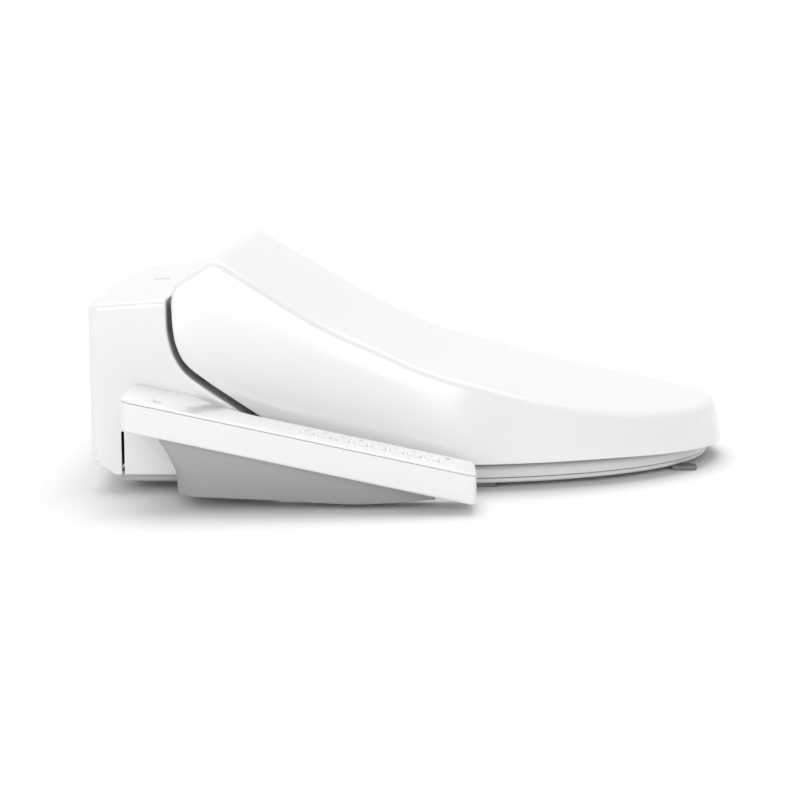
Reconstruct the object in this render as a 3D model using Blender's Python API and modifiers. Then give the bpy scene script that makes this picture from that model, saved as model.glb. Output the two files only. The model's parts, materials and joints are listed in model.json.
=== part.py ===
"""An electric bidet seat: rear unit, seat, lid and control arm, one object for each piece.

Metres, +Z up. The origin is the middle of the mounting plate's underside, on the line of the
bowl's bolts. The seat's nose points to -Y and the control arm is on the -X side.
"""

import math

import bmesh
import bpy
from mathutils import Matrix, Vector

GAP = 0.0003  # between pieces that touch
WALL = 0.003  # moulded walls

# rear unit, as a side outline (y, z) and a plan outline (x, y)
UNIT_HALF = 0.190
UNIT_TOP_REAR = 0.1508
UNIT_TOP_FRONT = 0.1553
UNIT_BOTTOM = 0.0153
UNIT_REAR = 0.062
UNIT_REAR_BULGE = 0.008
UNIT_FRONT = -0.091
UNIT_CORNER = 0.010
SIDE_SLOT = ((-0.200, 0.0344, 0.0100), (-0.180, 0.0368, 0.0500))

# hinge line shared by the seat and the lid
HINGE_Y = -0.015
HINGE_Z = 0.158
PIN_RADIUS = 0.002
KNUCKLE_RADIUS = 0.0044
KNUCKLE_BORE = 0.0024
LUG_WIDTH = 0.010
LUG_PITCH = 0.0105
LID_LUG_X = 0.112
NOTCH_CLEARANCE = 0.0004

# lid
LID_HALF = 0.187
LID_STRAIGHT_Y = -0.205
LID_NOSE_Y = -0.472
LID_CREASE_INSET = 0.005
LID_EDGE_ROUND = 0.004
LID_SPINE_FRONT = -0.370

# seat ring
RING_CENTRE_Y = -0.250
RING_INNER_HALF = 0.105
RING_INNER_LENGTH = 0.140
RING_OUTER_CENTRE_Y = LID_STRAIGHT_Y
RING_OUTER_HALF = 0.176
RING_OUTER_FRONT = 0.256
RING_OUTER_REAR = 0.157
RING_TOP = 0.024
RING_SEAM = 0.0090
RING_BOTTOM = 0.0043
RING_STATIONS = 20
RING_SHARES = (0.0, 0.3, 0.75, 1.0)
SEAT_WALL = 0.0025
SEAT_DROP = 0.0035
SEAT_GROOVE = 0.0008
SEAT_BUMPERS = ((-0.090, -0.427), (0.090, -0.427), (-0.160, -0.253), (0.160, -0.253))
RING_RISE = [
    (-0.165, 0.0),
    (-0.135, 0.006),
    (-0.110, 0.020),
    (-0.085, 0.048),
    (-0.060, 0.082),
    (-0.035, 0.118),
]

# nozzle unit: its own frame slopes down towards the bowl
NOZZLE_EXIT = (0.0, -0.090, 0.025)
NOZZLE_SLOPE = math.radians(25)
NOZZLE_X = 0.012
NOZZLE_RADIUS = 0.0055
NOZZLE_LENGTH = 0.120
GEAR_TEETH = 12
GEAR_MODULE = 0.001
GEAR_PITCH_RADIUS = GEAR_TEETH * GEAR_MODULE / 2
RACK_LINE = 0.0080
GEAR_Y = 0.060

# dryer
FAN_CENTRE = (-0.118, 0.024, 0.074)
FAN_RADIUS = 0.034
FAN_WIDTH = 0.036
DUCT_X = (-0.132, -0.104)

# control arm: its own frame slopes down towards the nose
ARM_ORIGIN = (-0.2450, -0.2430, 0.0312)
ARM_SLOPE = math.radians(12.15)
ARM_LENGTH = 0.2745
ARM_HALF = 0.025
ARM_DEPTH = 0.0245
ARM_ROOT_START = 0.150
ARM_ROOT_X = 0.0547
PANEL_THICK = 0.002
KEY_PROUD = 0.0006
KEY_COUNT = 8
KEY_PITCH = 0.0140
KEY_SIZE = (0.013, 0.0110, 0.0040)
KEY_FIRST = 0.034
ARM_LAMP = (0.0135, 0.0215)


# ---------------------------------------------------------------- helpers


def clear_scene():
    for thing in list(bpy.data.objects):
        bpy.data.objects.remove(thing)


def collection(name):
    made = bpy.data.collections.new(name)
    bpy.context.scene.collection.children.link(made)
    return made


clear_scene()
PARTS = collection("electric_bidet_seat")


def material(name, colour, roughness, metallic=0.0):
    made = bpy.data.materials.new(name)
    made.use_nodes = True
    shader = made.node_tree.nodes["Principled BSDF"]
    shader.inputs["Base Color"].default_value = (*colour, 1.0)
    shader.inputs["Roughness"].default_value = roughness
    shader.inputs["Metallic"].default_value = metallic
    return made


WHITE = (0.90, 0.90, 0.89)
GREY = (0.55, 0.56, 0.57)
DARK = (0.06, 0.06, 0.07)
STEEL = (0.62, 0.62, 0.63)
GREEN = (0.05, 0.22, 0.12)


def mesh_object(name, mesh):
    made = bpy.data.objects.new(name, mesh)
    PARTS.objects.link(made)
    return made


def finish(thing, colour, roughness=0.35, metallic=0.0, pivot=None, frame=None):
    """Give a piece its material, its origin and its parent frame."""
    thing.data.materials.clear()
    thing.data.materials.append(material(thing.name, colour, roughness, metallic))
    if pivot is not None:
        thing.data.transform(Matrix.Translation(-Vector(pivot)))
        thing.location = pivot
    if frame is not None:
        thing.parent = frame
    thing.data.shade_smooth()
    thing.data.set_sharp_from_angle(angle=math.radians(35))
    return thing


def evaluated(thing):
    """A plain mesh of the object with its modifiers applied."""
    bpy.context.view_layer.update()
    return bpy.data.meshes.new_from_object(
        thing.evaluated_get(bpy.context.evaluated_depsgraph_get())
    )


def apply_modifiers(thing):
    mesh = evaluated(thing)
    thing.modifiers.clear()
    thing.data = mesh
    return thing


def boolean(thing, tool, operation):
    change = thing.modifiers.new(operation.lower(), "BOOLEAN")
    change.operation = operation
    change.solver = "EXACT"
    change.object = tool
    apply_modifiers(thing)
    bpy.data.objects.remove(tool)
    return thing


def cut(thing, *tools):
    for tool in tools:
        boolean(thing, tool, "DIFFERENCE")
    return thing


def join(thing, *others):
    for other in others:
        boolean(thing, other, "UNION")
    return thing


def bevel(thing, width, segments=2):
    change = thing.modifiers.new("bevel", "BEVEL")
    change.width = width
    change.segments = segments
    change.limit_method = "ANGLE"
    change.angle_limit = math.radians(40)
    return apply_modifiers(thing)


def box(name, low, high, round_edges=0.0, segments=1):
    mesh = bpy.data.meshes.new(name)
    work = bmesh.new()
    bmesh.ops.create_cube(work, size=1.0)
    size = [b - a for a, b in zip(low, high)]
    middle = [(a + b) / 2 for a, b in zip(low, high)]
    bmesh.ops.scale(work, vec=size, verts=work.verts)
    bmesh.ops.translate(work, vec=middle, verts=work.verts)
    work.to_mesh(mesh)
    work.free()
    made = mesh_object(name, mesh)
    return bevel(made, round_edges, segments) if round_edges else made


TURN = {
    "X": Matrix.Rotation(math.pi / 2, 4, "Y"),
    "Y": Matrix.Rotation(-math.pi / 2, 4, "X"),
    "Z": Matrix(),
}


def rod(name, centre, axis, length, radius, radius_top=None, sides=20):
    """A cylinder or cone whose length runs along axis, centred on centre."""
    mesh = bpy.data.meshes.new(name)
    work = bmesh.new()
    top = radius if radius_top is None else radius_top
    bmesh.ops.create_cone(
        work, cap_ends=True, segments=sides, radius1=radius, radius2=top, depth=length
    )
    bmesh.ops.transform(work, matrix=Matrix.Translation(centre) @ TURN[axis], verts=work.verts)
    work.to_mesh(mesh)
    work.free()
    return mesh_object(name, mesh)


def slab(name, outline, low, high, axis="Z"):
    """A flat outline, filled and extruded from low to high along axis.

    The outline is in (x, y) for Z, in (y, z) for X, and in (x, z) for Y.
    """
    curve = bpy.data.curves.new(name, "CURVE")
    curve.dimensions = "2D"
    curve.fill_mode = "BOTH"
    curve.extrude = (high - low) / 2
    spline = curve.splines.new("POLY")
    spline.points.add(len(outline) - 1)
    for point, (a, b) in zip(spline.points, outline):
        point.co = (a, b, 0.0, 1.0)
    spline.use_cyclic_u = True
    guide = bpy.data.objects.new(name + "_outline", curve)
    PARTS.objects.link(guide)
    mesh = evaluated(guide)
    bpy.data.objects.remove(guide)
    work = bmesh.new()
    work.from_mesh(mesh)
    bmesh.ops.remove_doubles(work, verts=work.verts, dist=0.00001)
    middle = (low + high) / 2
    stand = {
        "Z": Matrix.Translation((0, 0, middle)),
        "X": Matrix(((0, 0, 1, middle), (1, 0, 0, 0), (0, 1, 0, 0), (0, 0, 0, 1))),
        "Y": Matrix(((1, 0, 0, 0), (0, 0, -1, middle), (0, 1, 0, 0), (0, 0, 0, 1))),
    }
    bmesh.ops.transform(work, matrix=stand[axis], verts=work.verts)
    bmesh.ops.recalc_face_normals(work, faces=work.faces)
    work.to_mesh(mesh)
    work.free()
    return mesh_object(name, mesh)


def inset(outline, distance):
    """The same outline moved inwards by a wall's thickness (counter-clockwise outlines)."""
    moved = []
    count = len(outline)
    for i in range(count):
        before, here, after = (Vector(outline[(i + k) % count]) for k in (-1, 0, 1))
        one = (here - before).normalized()
        two = (after - here).normalized()
        normal = (Vector((-one.y, one.x)) + Vector((-two.y, two.x))).normalized()
        spread = max(normal.dot(Vector((-one.y, one.x))), 0.5)
        moved.append(tuple(here + normal * distance / spread))
    return moved


def through(points, at):
    """A value read from (position, value) points, in straight lines between neighbours."""
    if at <= points[0][0]:
        return points[0][1]
    for (a, low), (b, high) in zip(points, points[1:]):
        if at <= b:
            return low + (high - low) * (at - a) / (b - a)
    return points[-1][1]


def grid_mesh(name, rows, closed_columns=False):
    """Quads between rows of points that all have the same count."""
    work = bmesh.new()
    verts = [[work.verts.new(p) for p in row] for row in rows]
    count = len(rows[0])
    for upper, lower in zip(verts, verts[1:]):
        for i in range(count if closed_columns else count - 1):
            j = (i + 1) % count
            work.faces.new((upper[i], upper[j], lower[j], lower[i]))
    bmesh.ops.remove_doubles(work, verts=work.verts, dist=0.00002)
    bmesh.ops.recalc_face_normals(work, faces=work.faces)
    bmesh.ops.triangulate(work, faces=work.faces)
    mesh = bpy.data.meshes.new(name)
    work.to_mesh(mesh)
    work.free()
    return mesh_object(name, mesh)


def thicken(thing, thickness, offset):
    change = thing.modifiers.new("solidify", "SOLIDIFY")
    change.thickness = thickness
    change.offset = offset
    change.use_even_offset = True
    return apply_modifiers(thing)


def frame_at(name, origin, slope):
    """An empty that carries pieces on a slope: its -Y points down towards the nose."""
    made = bpy.data.objects.new(name, None)
    made.location = origin
    made.rotation_euler = (slope, 0.0, 0.0)
    PARTS.objects.link(made)
    return made


# ---------------------------------------------------------------- rear unit


def unit_side_outline():
    """The rear unit from the side: flat top, curved gap towards the lid, chamfered rear foot."""
    gap_curve = [
        (-0.0003, UNIT_TOP_FRONT),
        (-0.0006, 0.134),
        (-0.0042, 0.115),
        (-0.0126, 0.099),
        (-0.0310, 0.084),
        (-0.0520, 0.070),
        (-0.0680, 0.058),
        (-0.0810, 0.044),
        (-0.0890, 0.030),
        (UNIT_FRONT, UNIT_BOTTOM),
    ]
    under = [(0.042, UNIT_BOTTOM), (0.054, 0.024), (UNIT_REAR + UNIT_REAR_BULGE + 0.004, 0.032)]
    top = [(UNIT_REAR + UNIT_REAR_BULGE + 0.004, UNIT_TOP_REAR)]
    return gap_curve + under + top


def unit_plan_outline():
    """The rear unit from above: straight sides, rounded rear corners and a bowed rear."""
    front = UNIT_FRONT - 0.004
    points = [(-UNIT_HALF, front), (UNIT_HALF, front)]
    corner = [
        (
            UNIT_HALF - UNIT_CORNER + UNIT_CORNER * math.cos(a),
            UNIT_REAR - UNIT_CORNER + UNIT_CORNER * math.sin(a),
        )
        for a in (math.radians(22.5 * k) for k in range(4))
    ]
    bow = [
        (UNIT_HALF * 0.88 * s, UNIT_REAR + UNIT_REAR_BULGE * (1 - s * s))
        for s in (k / 3 for k in range(3, -4, -1))
    ]
    other = [(-x, y) for x, y in reversed(corner)]
    return points + corner + bow + other


def rear_cover():
    side = unit_side_outline()
    plan = unit_plan_outline()
    cover = slab("rear_cover", side, -UNIT_HALF - 0.01, UNIT_HALF + 0.01, "X")
    boolean(cover, slab("plan", plan, 0.0, 0.2), "INTERSECT")
    core_side = inset(side, WALL)
    core = slab("core", core_side, -UNIT_HALF - 0.01, UNIT_HALF + 0.01, "X")
    boolean(core, slab("plan", inset(plan, WALL), 0.0, 0.2), "INTERSECT")
    half = UNIT_HALF - WALL
    floor = box("floor", (-half, UNIT_FRONT + WALL, 0.0), (half, 0.0395, UNIT_BOTTOM + WALL + 0.004))
    cut(cover, core, floor)
    # openings: nozzles and dryer at the front, filter, inlet and button on the left, cord behind
    cut(
        cover,
        box("mouth", (DUCT_X[0] - 0.004, UNIT_FRONT - 0.01, 0.0), (0.040, UNIT_FRONT + 0.030, 0.042)),
        box("filter_slot", (0.150, 0.008, 0.1125), (0.200, 0.0375, 0.1355)),
        rod("inlet_hole", (0.190, 0.024, 0.040), "X", 0.03, 0.0095),
        rod("button_hole", (0.190, -0.020, 0.040), "X", 0.03, 0.0084),
        rod("cord_hole", (0.100, 0.066, 0.050), "Y", 0.03, 0.0068),
        box("lamp_hole", (0.012, 0.0217, 0.140), (0.020, 0.0363, 0.160)),
        box("side_slot", *SIDE_SLOT),
    )
    for x in (-1, 1):
        cut(cover, box("bracket_slot", bracket_low(x, 0.0005), bracket_high(x, 0.0005)))
    return finish(cover, WHITE, 0.25)


def base_tray():
    half = UNIT_HALF - WALL - 0.0012
    front, rear = UNIT_FRONT + 0.0045, 0.0385
    wall = 0.0025
    tray = box("base_tray", (-half, front, 0.0090), (half, rear, 0.0175))
    cut(tray, box("well", (-half + wall, front + wall, 0.0115), (half - wall, rear - wall, 0.03)))
    for x, y in SCREW_PLACES:
        join(tray, rod("boss", (x, y, 0.0165), "Z", 0.013, 0.0045, sides=12))
        cut(tray, rod("screw_hole", (x, y, 0.015), "Z", 0.03, 0.0020, sides=12))
    cut(tray, rod("drain_hole", (0.155, 0.020, 0.010), "Z", 0.01, 0.0065, sides=16))
    return finish(tray, GREY, 0.5)


SCREW_PLACES = [(x, y) for x in (-0.172, 0.172) for y in (-0.075, 0.028)]


def base_screws():
    for number, (x, y) in enumerate(SCREW_PLACES, 1):
        screw = rod(f"base_screw_{number}", (x, y, 0.0073), "Z", 0.0027, 0.0038, sides=12)
        join(screw, rod("shank", (x, y, 0.0135), "Z", 0.011, 0.0016, sides=12))
        cut(screw, box("slot", (x - 0.003, y - 0.0005, 0.005), (x + 0.003, y + 0.0005, 0.0070)))
        finish(screw, STEEL, 0.35, 1.0)


def mounting_plate():
    """The plate that stays bolted to the bowl, with a slot for each bolt and two side rails."""
    plate = box("mounting_plate", (-0.145, -0.034, 0.0), (0.145, 0.034, 0.0050), 0.0008)
    for x in (-1, 1):
        rail = box("rail", (x * 0.130 - 0.006, -0.034, 0.004), (x * 0.130 + 0.006, 0.034, 0.0085))
        join(plate, rail)
        slot = box("slot", (x * 0.0775 - 0.016, -0.0042, -0.01), (x * 0.0775 + 0.016, 0.0042, 0.02))
        cut(plate, slot)
    return finish(plate, GREY, 0.5)


def bracket_low(side, clearance=0.0):
    inner = LID_LUG_X + LUG_PITCH - LUG_WIDTH / 2 - clearance
    outer = inner + LUG_WIDTH + 2 * clearance
    return (min(side * inner, side * outer), -0.020, 0.1440 - clearance)


def bracket_high(side, clearance=0.0):
    inner = LID_LUG_X + LUG_PITCH - LUG_WIDTH / 2 - clearance
    outer = inner + LUG_WIDTH + 2 * clearance
    return (max(side * inner, side * outer), 0.004, 0.1490 + clearance)


def knuckle(name, x, width=LUG_WIDTH):
    return rod(name, (x, HINGE_Y, HINGE_Z), "X", width, KNUCKLE_RADIUS, sides=20)


def knuckle_bore(x, width=0.03):
    return rod("bore", (x, HINGE_Y, HINGE_Z), "X", width, KNUCKLE_BORE, sides=20)


def hinge_bracket(label, side):
    """A fixed arm out of the cover's front wall that ends in the hinge's middle knuckle."""
    low, high = bracket_low(side), bracket_high(side)
    x = (low[0] + high[0]) / 2
    bracket = box(f"{label}_hinge_bracket", (low[0], -0.0170, 0.1440), (high[0], 0.0240, 0.1488))
    neck = box("neck", (low[0], -0.0185, 0.1440), (high[0], -0.0125, HINGE_Z))
    join(bracket, neck, knuckle("knuckle", x))
    cut(bracket, knuckle_bore(x))
    return finish(bracket, GREY, 0.4)


def hinge_pin(label, side):
    x = side * (LID_LUG_X + LUG_PITCH)
    pin = rod(f"{label}_hinge_pin", (x, HINGE_Y, HINGE_Z), "X", 3 * LUG_PITCH + 0.002, PIN_RADIUS)
    return finish(pin, STEEL, 0.25, 1.0)


def water_works():
    tank = box("heater_tank", (0.060, 0.000, 0.0280), (0.160, 0.040, 0.0930), 0.006, 2)
    join(tank, rod("outlet", (0.075, 0.000, 0.080), "Y", 0.016, 0.004, sides=14))
    finish(tank, WHITE, 0.5)
    inlet = rod("water_inlet", (0.1930, 0.024, 0.040), "X", 0.040, 0.0085, sides=20)
    join(inlet, rod("collar", (0.1810, 0.024, 0.040), "X", 0.0060, 0.0110, sides=20))
    cut(inlet, rod("bore", (0.200, 0.024, 0.040), "X", 0.040, 0.0050, sides=16))
    finish(inlet, STEEL, 0.3, 1.0)
    valve = box("solenoid_valve", (0.1640, -0.006, 0.0280), (0.1750, 0.0120, 0.0600), 0.0015)
    join(valve, rod("coil", (0.1695, 0.003, 0.0700), "Z", 0.024, 0.0053, sides=16))
    finish(valve, DARK, 0.5)
    pump = rod("water_pump", (0.085, -0.040, 0.0370), "X", 0.050, 0.0150, sides=20)
    join(pump, rod("pump_head", (0.118, -0.040, 0.0370), "X", 0.018, 0.0120, sides=20))
    finish(pump, DARK, 0.45)
    plug = rod("drain_plug", (0.155, 0.020, 0.0135), "Z", 0.0130, 0.0060, sides=16)
    cut(plug, box("slot", (0.150, 0.0194, 0.005), (0.160, 0.0206, 0.0085)))
    finish(plug, GREY, 0.5)


# middle (x, y), half width and height of what stands on the control board
CHIPS = (
    (-0.03, 0.02, 0.008, 0.003),
    (0.03, 0.03, 0.011, 0.006),
    (0.07, 0.02, 0.006, 0.005),
)


def electrics():
    finish(box("power_supply", (-0.076, 0.000, 0.0200), (0.050, 0.038, 0.0520), 0.002), STEEL, 0.5, 0.8)
    board_low, board_top = 0.1275, 0.1291
    board = box("control_board", (-0.060, 0.0035, board_low), (0.100, 0.050, board_top))
    for x, y, half, height in CHIPS:
        chip_low = (x - half, y - half, board_low + 0.001)
        join(board, box("chip", chip_low, (x + half, y + half, board_top + height)))
    finish(board, GREEN, 0.45)
    gland = rod("cord_gland", (0.100, 0.0720, 0.050), "Y", 0.0220, 0.0064, sides=18)
    join(gland, rod("flange", (0.100, 0.0600, 0.050), "Y", 0.0030, 0.0095, sides=18))
    cut(gland, rod("bore", (0.100, 0.0750, 0.050), "Y", 0.0400, 0.0036, sides=14))
    finish(gland, DARK, 0.6)
    lamp = box("status_lamp", (0.0124, 0.0220, 0.1480), (0.0196, 0.0360, 0.1531))
    finish(lamp, GREY, 0.2)


# ---------------------------------------------------------------- nozzles


def gear_outline(teeth, gear_module):
    """A spur gear's outline with narrow teeth, so that it always runs free of its rack."""
    pitch = teeth * gear_module / 2
    tip = pitch + 0.9 * gear_module
    root = pitch - 1.2 * gear_module
    step = math.tau / teeth
    flank = [(root, -0.27), (pitch, -0.17), (tip, -0.07)]
    profile = flank + [(radius, -share) for radius, share in reversed(flank)]
    points = []
    for tooth in range(teeth):
        middle = tooth * step - math.pi / 2
        for radius, share in profile:
            angle = middle + share * step
            points.append((radius * math.cos(angle), radius * math.sin(angle)))
    return points


def rack_outline(start, count, gear_module):
    """A toothed bar in (y, z) whose gaps centre on the gear's lowest tooth at rest."""
    pitch = math.pi * gear_module
    tip = RACK_LINE + 0.8 * gear_module
    root = RACK_LINE - 1.2 * gear_module
    points = [(start, root - 0.0022), (start + count * pitch, root - 0.0022), (start + count * pitch, root)]
    for tooth in reversed(range(count)):
        middle = start + (tooth + 0.5) * pitch
        points += [
            (middle + 0.25 * pitch, root),
            (middle + 0.09 * pitch, tip),
            (middle - 0.09 * pitch, tip),
            (middle - 0.25 * pitch, root),
        ]
    points.append((start, root))
    return points


def nozzle(label, x, frame):
    name = f"{label}_nozzle"
    body = rod(name, (x, NOZZLE_LENGTH / 2 + 0.006, 0.0), "Y", NOZZLE_LENGTH, NOZZLE_RADIUS, sides=18)
    pitch = math.pi * GEAR_MODULE
    start = GEAR_Y - 2 * pitch
    teeth = int((NOZZLE_LENGTH + 0.006 - start) / pitch)
    rack = slab("rack", rack_outline(start, teeth, GEAR_MODULE), x - 0.002, x + 0.002, "X")
    join(body, rack)
    finish(body, STEEL, 0.25, 1.0, frame=frame)
    tip = rod(f"{label}_nozzle_tip", (x, 0.0010, 0.0), "Y", 0.0090, 0.0050, NOZZLE_RADIUS, sides=18)
    cut(tip, rod("jet", (x, 0.0010, 0.004), "Z", 0.006, 0.0008, sides=10))
    finish(tip, WHITE, 0.3, frame=frame)


def nozzle_gear(label, x, frame):
    gear = slab(f"{label}_nozzle_gear", gear_outline(GEAR_TEETH, GEAR_MODULE), -0.0018, 0.0018, "X")
    cut(gear, rod("bore", (0, 0, 0), "X", 0.02, 0.0015, sides=12))
    finish(gear, WHITE, 0.4)
    gear.location = (x, GEAR_Y, RACK_LINE + GEAR_PITCH_RADIUS)
    gear.parent = frame


def nozzle_motor(label, x, frame):
    side = 1 if x > 0 else -1
    height = RACK_LINE + GEAR_PITCH_RADIUS
    motor = rod(f"{label}_nozzle_motor", (x + side * 0.0135, GEAR_Y, height), "X", 0.014, 0.0075, sides=20)
    join(motor, rod("shaft", (x + side * 0.0030, GEAR_Y, height), "X", 0.0120, 0.0010, sides=12))
    finish(motor, STEEL, 0.35, 1.0, frame=frame)


def nozzle_housing(frame):
    """A trough with a channel for each nozzle, open on top for the racks."""
    length = NOZZLE_LENGTH + 0.006
    housing = box("nozzle_housing", (-0.0205, 0.0015, -0.0085), (0.0205, length, 0.0035))
    for x in (-NOZZLE_X, NOZZLE_X):
        cut(housing, box("channel", (x - 0.0060, -0.01, -0.0062), (x + 0.0060, length + 0.01, 0.01)))
    return finish(housing, GREY, 0.45, frame=frame)


def nozzle_unit():
    frame = frame_at("nozzle_frame", NOZZLE_EXIT, NOZZLE_SLOPE)
    for label, x in (("rear", -NOZZLE_X), ("front", NOZZLE_X)):
        nozzle(label, x, frame)
        nozzle_gear(label, x, frame)
        nozzle_motor(label, x, frame)
    nozzle_housing(frame)


# ---------------------------------------------------------------- dryer and filter


def fan():
    x, y, z = FAN_CENTRE
    housing = rod("fan_housing", FAN_CENTRE, "X", FAN_WIDTH, FAN_RADIUS, sides=28)
    cut(
        housing,
        rod("chamber", FAN_CENTRE, "X", FAN_WIDTH - 0.004, FAN_RADIUS - 0.002, sides=28),
        rod("intake", (x - FAN_WIDTH / 2, y, z), "X", 0.02, 0.018, sides=20),
        rod("axle_hole", (x + FAN_WIDTH / 2, y, z), "X", 0.02, 0.0035, sides=12),
        box("outlet", (DUCT_X[0] + 0.002, y - FAN_RADIUS, 0.044), (DUCT_X[1] - 0.002, y - 0.012, 0.062)),
    )
    finish(housing, DARK, 0.5)
    impeller = rod("fan_impeller", FAN_CENTRE, "X", 0.024, 0.010, sides=16)
    for blade in range(8):
        vane = box("vane", (x - 0.012, y - 0.001, z + 0.008), (x + 0.012, y + 0.001, z + 0.028))
        turn = Matrix.Rotation(math.tau * blade / 8, 4, "X")
        vane.data.transform(Matrix.Translation(FAN_CENTRE) @ turn @ Matrix.Translation(-Vector(FAN_CENTRE)))
        join(impeller, vane)
    cut(impeller, rod("bore", (x + 0.012, y, z), "X", 0.024, 0.0026, sides=12))
    finish(impeller, GREY, 0.4, pivot=FAN_CENTRE)
    motor = rod("fan_motor", (x + FAN_WIDTH / 2 + 0.0093, y, z), "X", 0.018, 0.0140, sides=20)
    join(motor, rod("shaft", (x + FAN_WIDTH / 2 - 0.006, y, z), "X", 0.022, 0.0022, sides=12))
    finish(motor, STEEL, 0.35, 1.0)


def dryer_duct():
    """A sloped rectangular tube that brings the air to the front of the unit."""
    outer = [
        (-0.0600, 0.0240),
        (-0.0860, 0.0180),
        (-0.0860, 0.0300),
        (-0.0600, 0.0470),
        (-0.0200, 0.0640),
        (-0.0110, 0.0640),
        (-0.0110, 0.0420),
        (-0.0200, 0.0420),
    ]
    duct = slab("dryer_duct", outer, DUCT_X[0], DUCT_X[1], "X")
    bore = [
        (-0.0050, 0.0440),
        (-0.0050, 0.0620),
        (-0.0210, 0.0620),
        (-0.0607, 0.0452),
        (-0.0960, 0.0223),
        (-0.0960, 0.0198),
        (-0.0596, 0.0260),
        (-0.0210, 0.0440),
    ]
    cut(duct, slab("bore", list(reversed(bore)), DUCT_X[0] + 0.0015, DUCT_X[1] - 0.0015, "X"))
    return finish(duct, DARK, 0.5)


def dryer_flap():
    hinge = (0.0, -0.0895, 0.0300)
    flap = box("dryer_flap", (DUCT_X[0] + 0.0005, -0.0900, 0.0175), (DUCT_X[1] - 0.0005, -0.0888, 0.0305))
    return finish(flap, WHITE, 0.4, pivot=hinge)


def filter_and_button():
    cartridge = box("deodorizer_filter", (0.1250, 0.0085, 0.1130), (0.1898, 0.0370, 0.1350), 0.0012)
    cut(cartridge, box("pull", (0.1870, 0.0160, 0.1190), (0.20, 0.0300, 0.1230)))
    finish(cartridge, WHITE, 0.35)
    button = rod("release_button", (0.1865, -0.020, 0.040), "X", 0.0110, 0.0080, sides=20)
    join(button, rod("stem", (0.1780, -0.020, 0.040), "X", 0.0100, 0.0030, sides=12))
    finish(button, WHITE, 0.35, pivot=(0.1865, -0.020, 0.040))


# ---------------------------------------------------------------- seat


def seat_lift(y):
    """How far the ring rises towards the hinge."""
    return through(RING_RISE, y)


def ring_point(angle, centre, half, reach, squareness):
    """A point of an oval around the bowl; a squareness of 2 is an ellipse."""
    c, s = math.cos(angle), math.sin(angle)
    power = 2.0 / squareness
    x = half * math.copysign(abs(s) ** power, s)
    y = centre + reach * math.copysign(abs(c) ** power, c)
    return x, y


def inner_edge(angle, grow=0.0):
    return ring_point(angle, RING_CENTRE_Y, RING_INNER_HALF + grow, RING_INNER_LENGTH + grow, 2.1)


def outer_edge(angle, shrink=0.0):
    """Elliptical around the nose like the lid, nearly square at the rear."""
    front = math.cos(angle) < 0
    reach = RING_OUTER_FRONT if front else RING_OUTER_REAR
    squareness = 2.0 if front else 5.0
    return ring_point(
        angle, RING_OUTER_CENTRE_Y, RING_OUTER_HALF - shrink, reach - shrink, squareness
    )


def ring_row(edge, height, amount):
    row = []
    for step in range(2 * RING_STATIONS):
        x, y = edge(math.pi * step / RING_STATIONS, amount)
        row.append((x, y, height + seat_lift(y)))
    return row


def between(first, second, share, height):
    row = []
    for (ax, ay, az), (bx, by, bz) in zip(first, second):
        x, y = ax + (bx - ax) * share, ay + (by - ay) * share
        row.append((x, y, height + seat_lift(y)))
    return row


def seat_section(shrink, drop):
    """Rows over the ring from the inner rim to the outer rim, moved in by shrink and down by drop."""
    inner_top = ring_row(inner_edge, RING_TOP - 0.006 - drop, 0.004 + shrink)
    outer_top = ring_row(outer_edge, RING_TOP - 0.004 - drop, 0.004 + shrink)
    crown = [between(inner_top, outer_top, share, RING_TOP - drop) for share in RING_SHARES[1:-1]]
    return [
        ring_row(inner_edge, RING_SEAM, shrink),
        inner_top,
        *crown,
        outer_top,
        ring_row(outer_edge, RING_SEAM, shrink),
    ]


def seat_top():
    """The upper moulding: a shell that is open below, with a hinge arm on each side."""
    outside = seat_section(0.0, 0.0)
    inside = seat_section(SEAT_WALL, SEAT_DROP)
    rows = outside + inside[::-1] + outside[:1]
    shell = grid_mesh("seat_top", rows, closed_columns=True)
    for side in (-1, 1):
        x = side * (LID_LUG_X + 2 * LUG_PITCH)
        arm = [
            (HINGE_Y + 0.001, HINGE_Z - 0.0040),
            (HINGE_Y + 0.001, HINGE_Z + 0.0030),
            (HINGE_Y - 0.004, HINGE_Z + 0.0020),
            (-0.0520, 0.1300),
            (-0.0740, 0.0980),
            (-0.0740, 0.0830),
            (-0.0600, 0.0950),
            (-0.0480, 0.1120),
        ]
        arm_low, arm_high = x - LUG_WIDTH / 2, x + LUG_WIDTH / 2
        join(shell, slab("arm", list(reversed(arm)), arm_low, arm_high, "X"), knuckle("lug", x))
        cut(shell, knuckle_bore(x))
    return finish(shell, WHITE, 0.2, pivot=(0.0, HINGE_Y, HINGE_Z))


def outward(thing, above):
    """Turn an open surface so that its faces look towards a point over it."""
    work = bmesh.new()
    work.from_mesh(thing.data)
    top = max(work.faces, key=lambda f: f.calc_center_median().z + 10 * abs(f.normal.z))
    if top.normal.dot(Vector(above) - top.calc_center_median()) < 0:
        bmesh.ops.reverse_faces(work, faces=work.faces)
    work.to_mesh(thing.data)
    work.free()


def ring_plate(name, low, high, from_inner, from_outer):
    """A closed flat ring that follows the seat's rise."""
    inner = ring_row(inner_edge, 0.0, from_inner)
    outer = ring_row(outer_edge, 0.0, from_outer)
    rows = [between(inner, outer, share, low) for share in RING_SHARES]
    rows += [between(inner, outer, share, high) for share in reversed(RING_SHARES)]
    return grid_mesh(name, rows + rows[:1], closed_columns=True)


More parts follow.
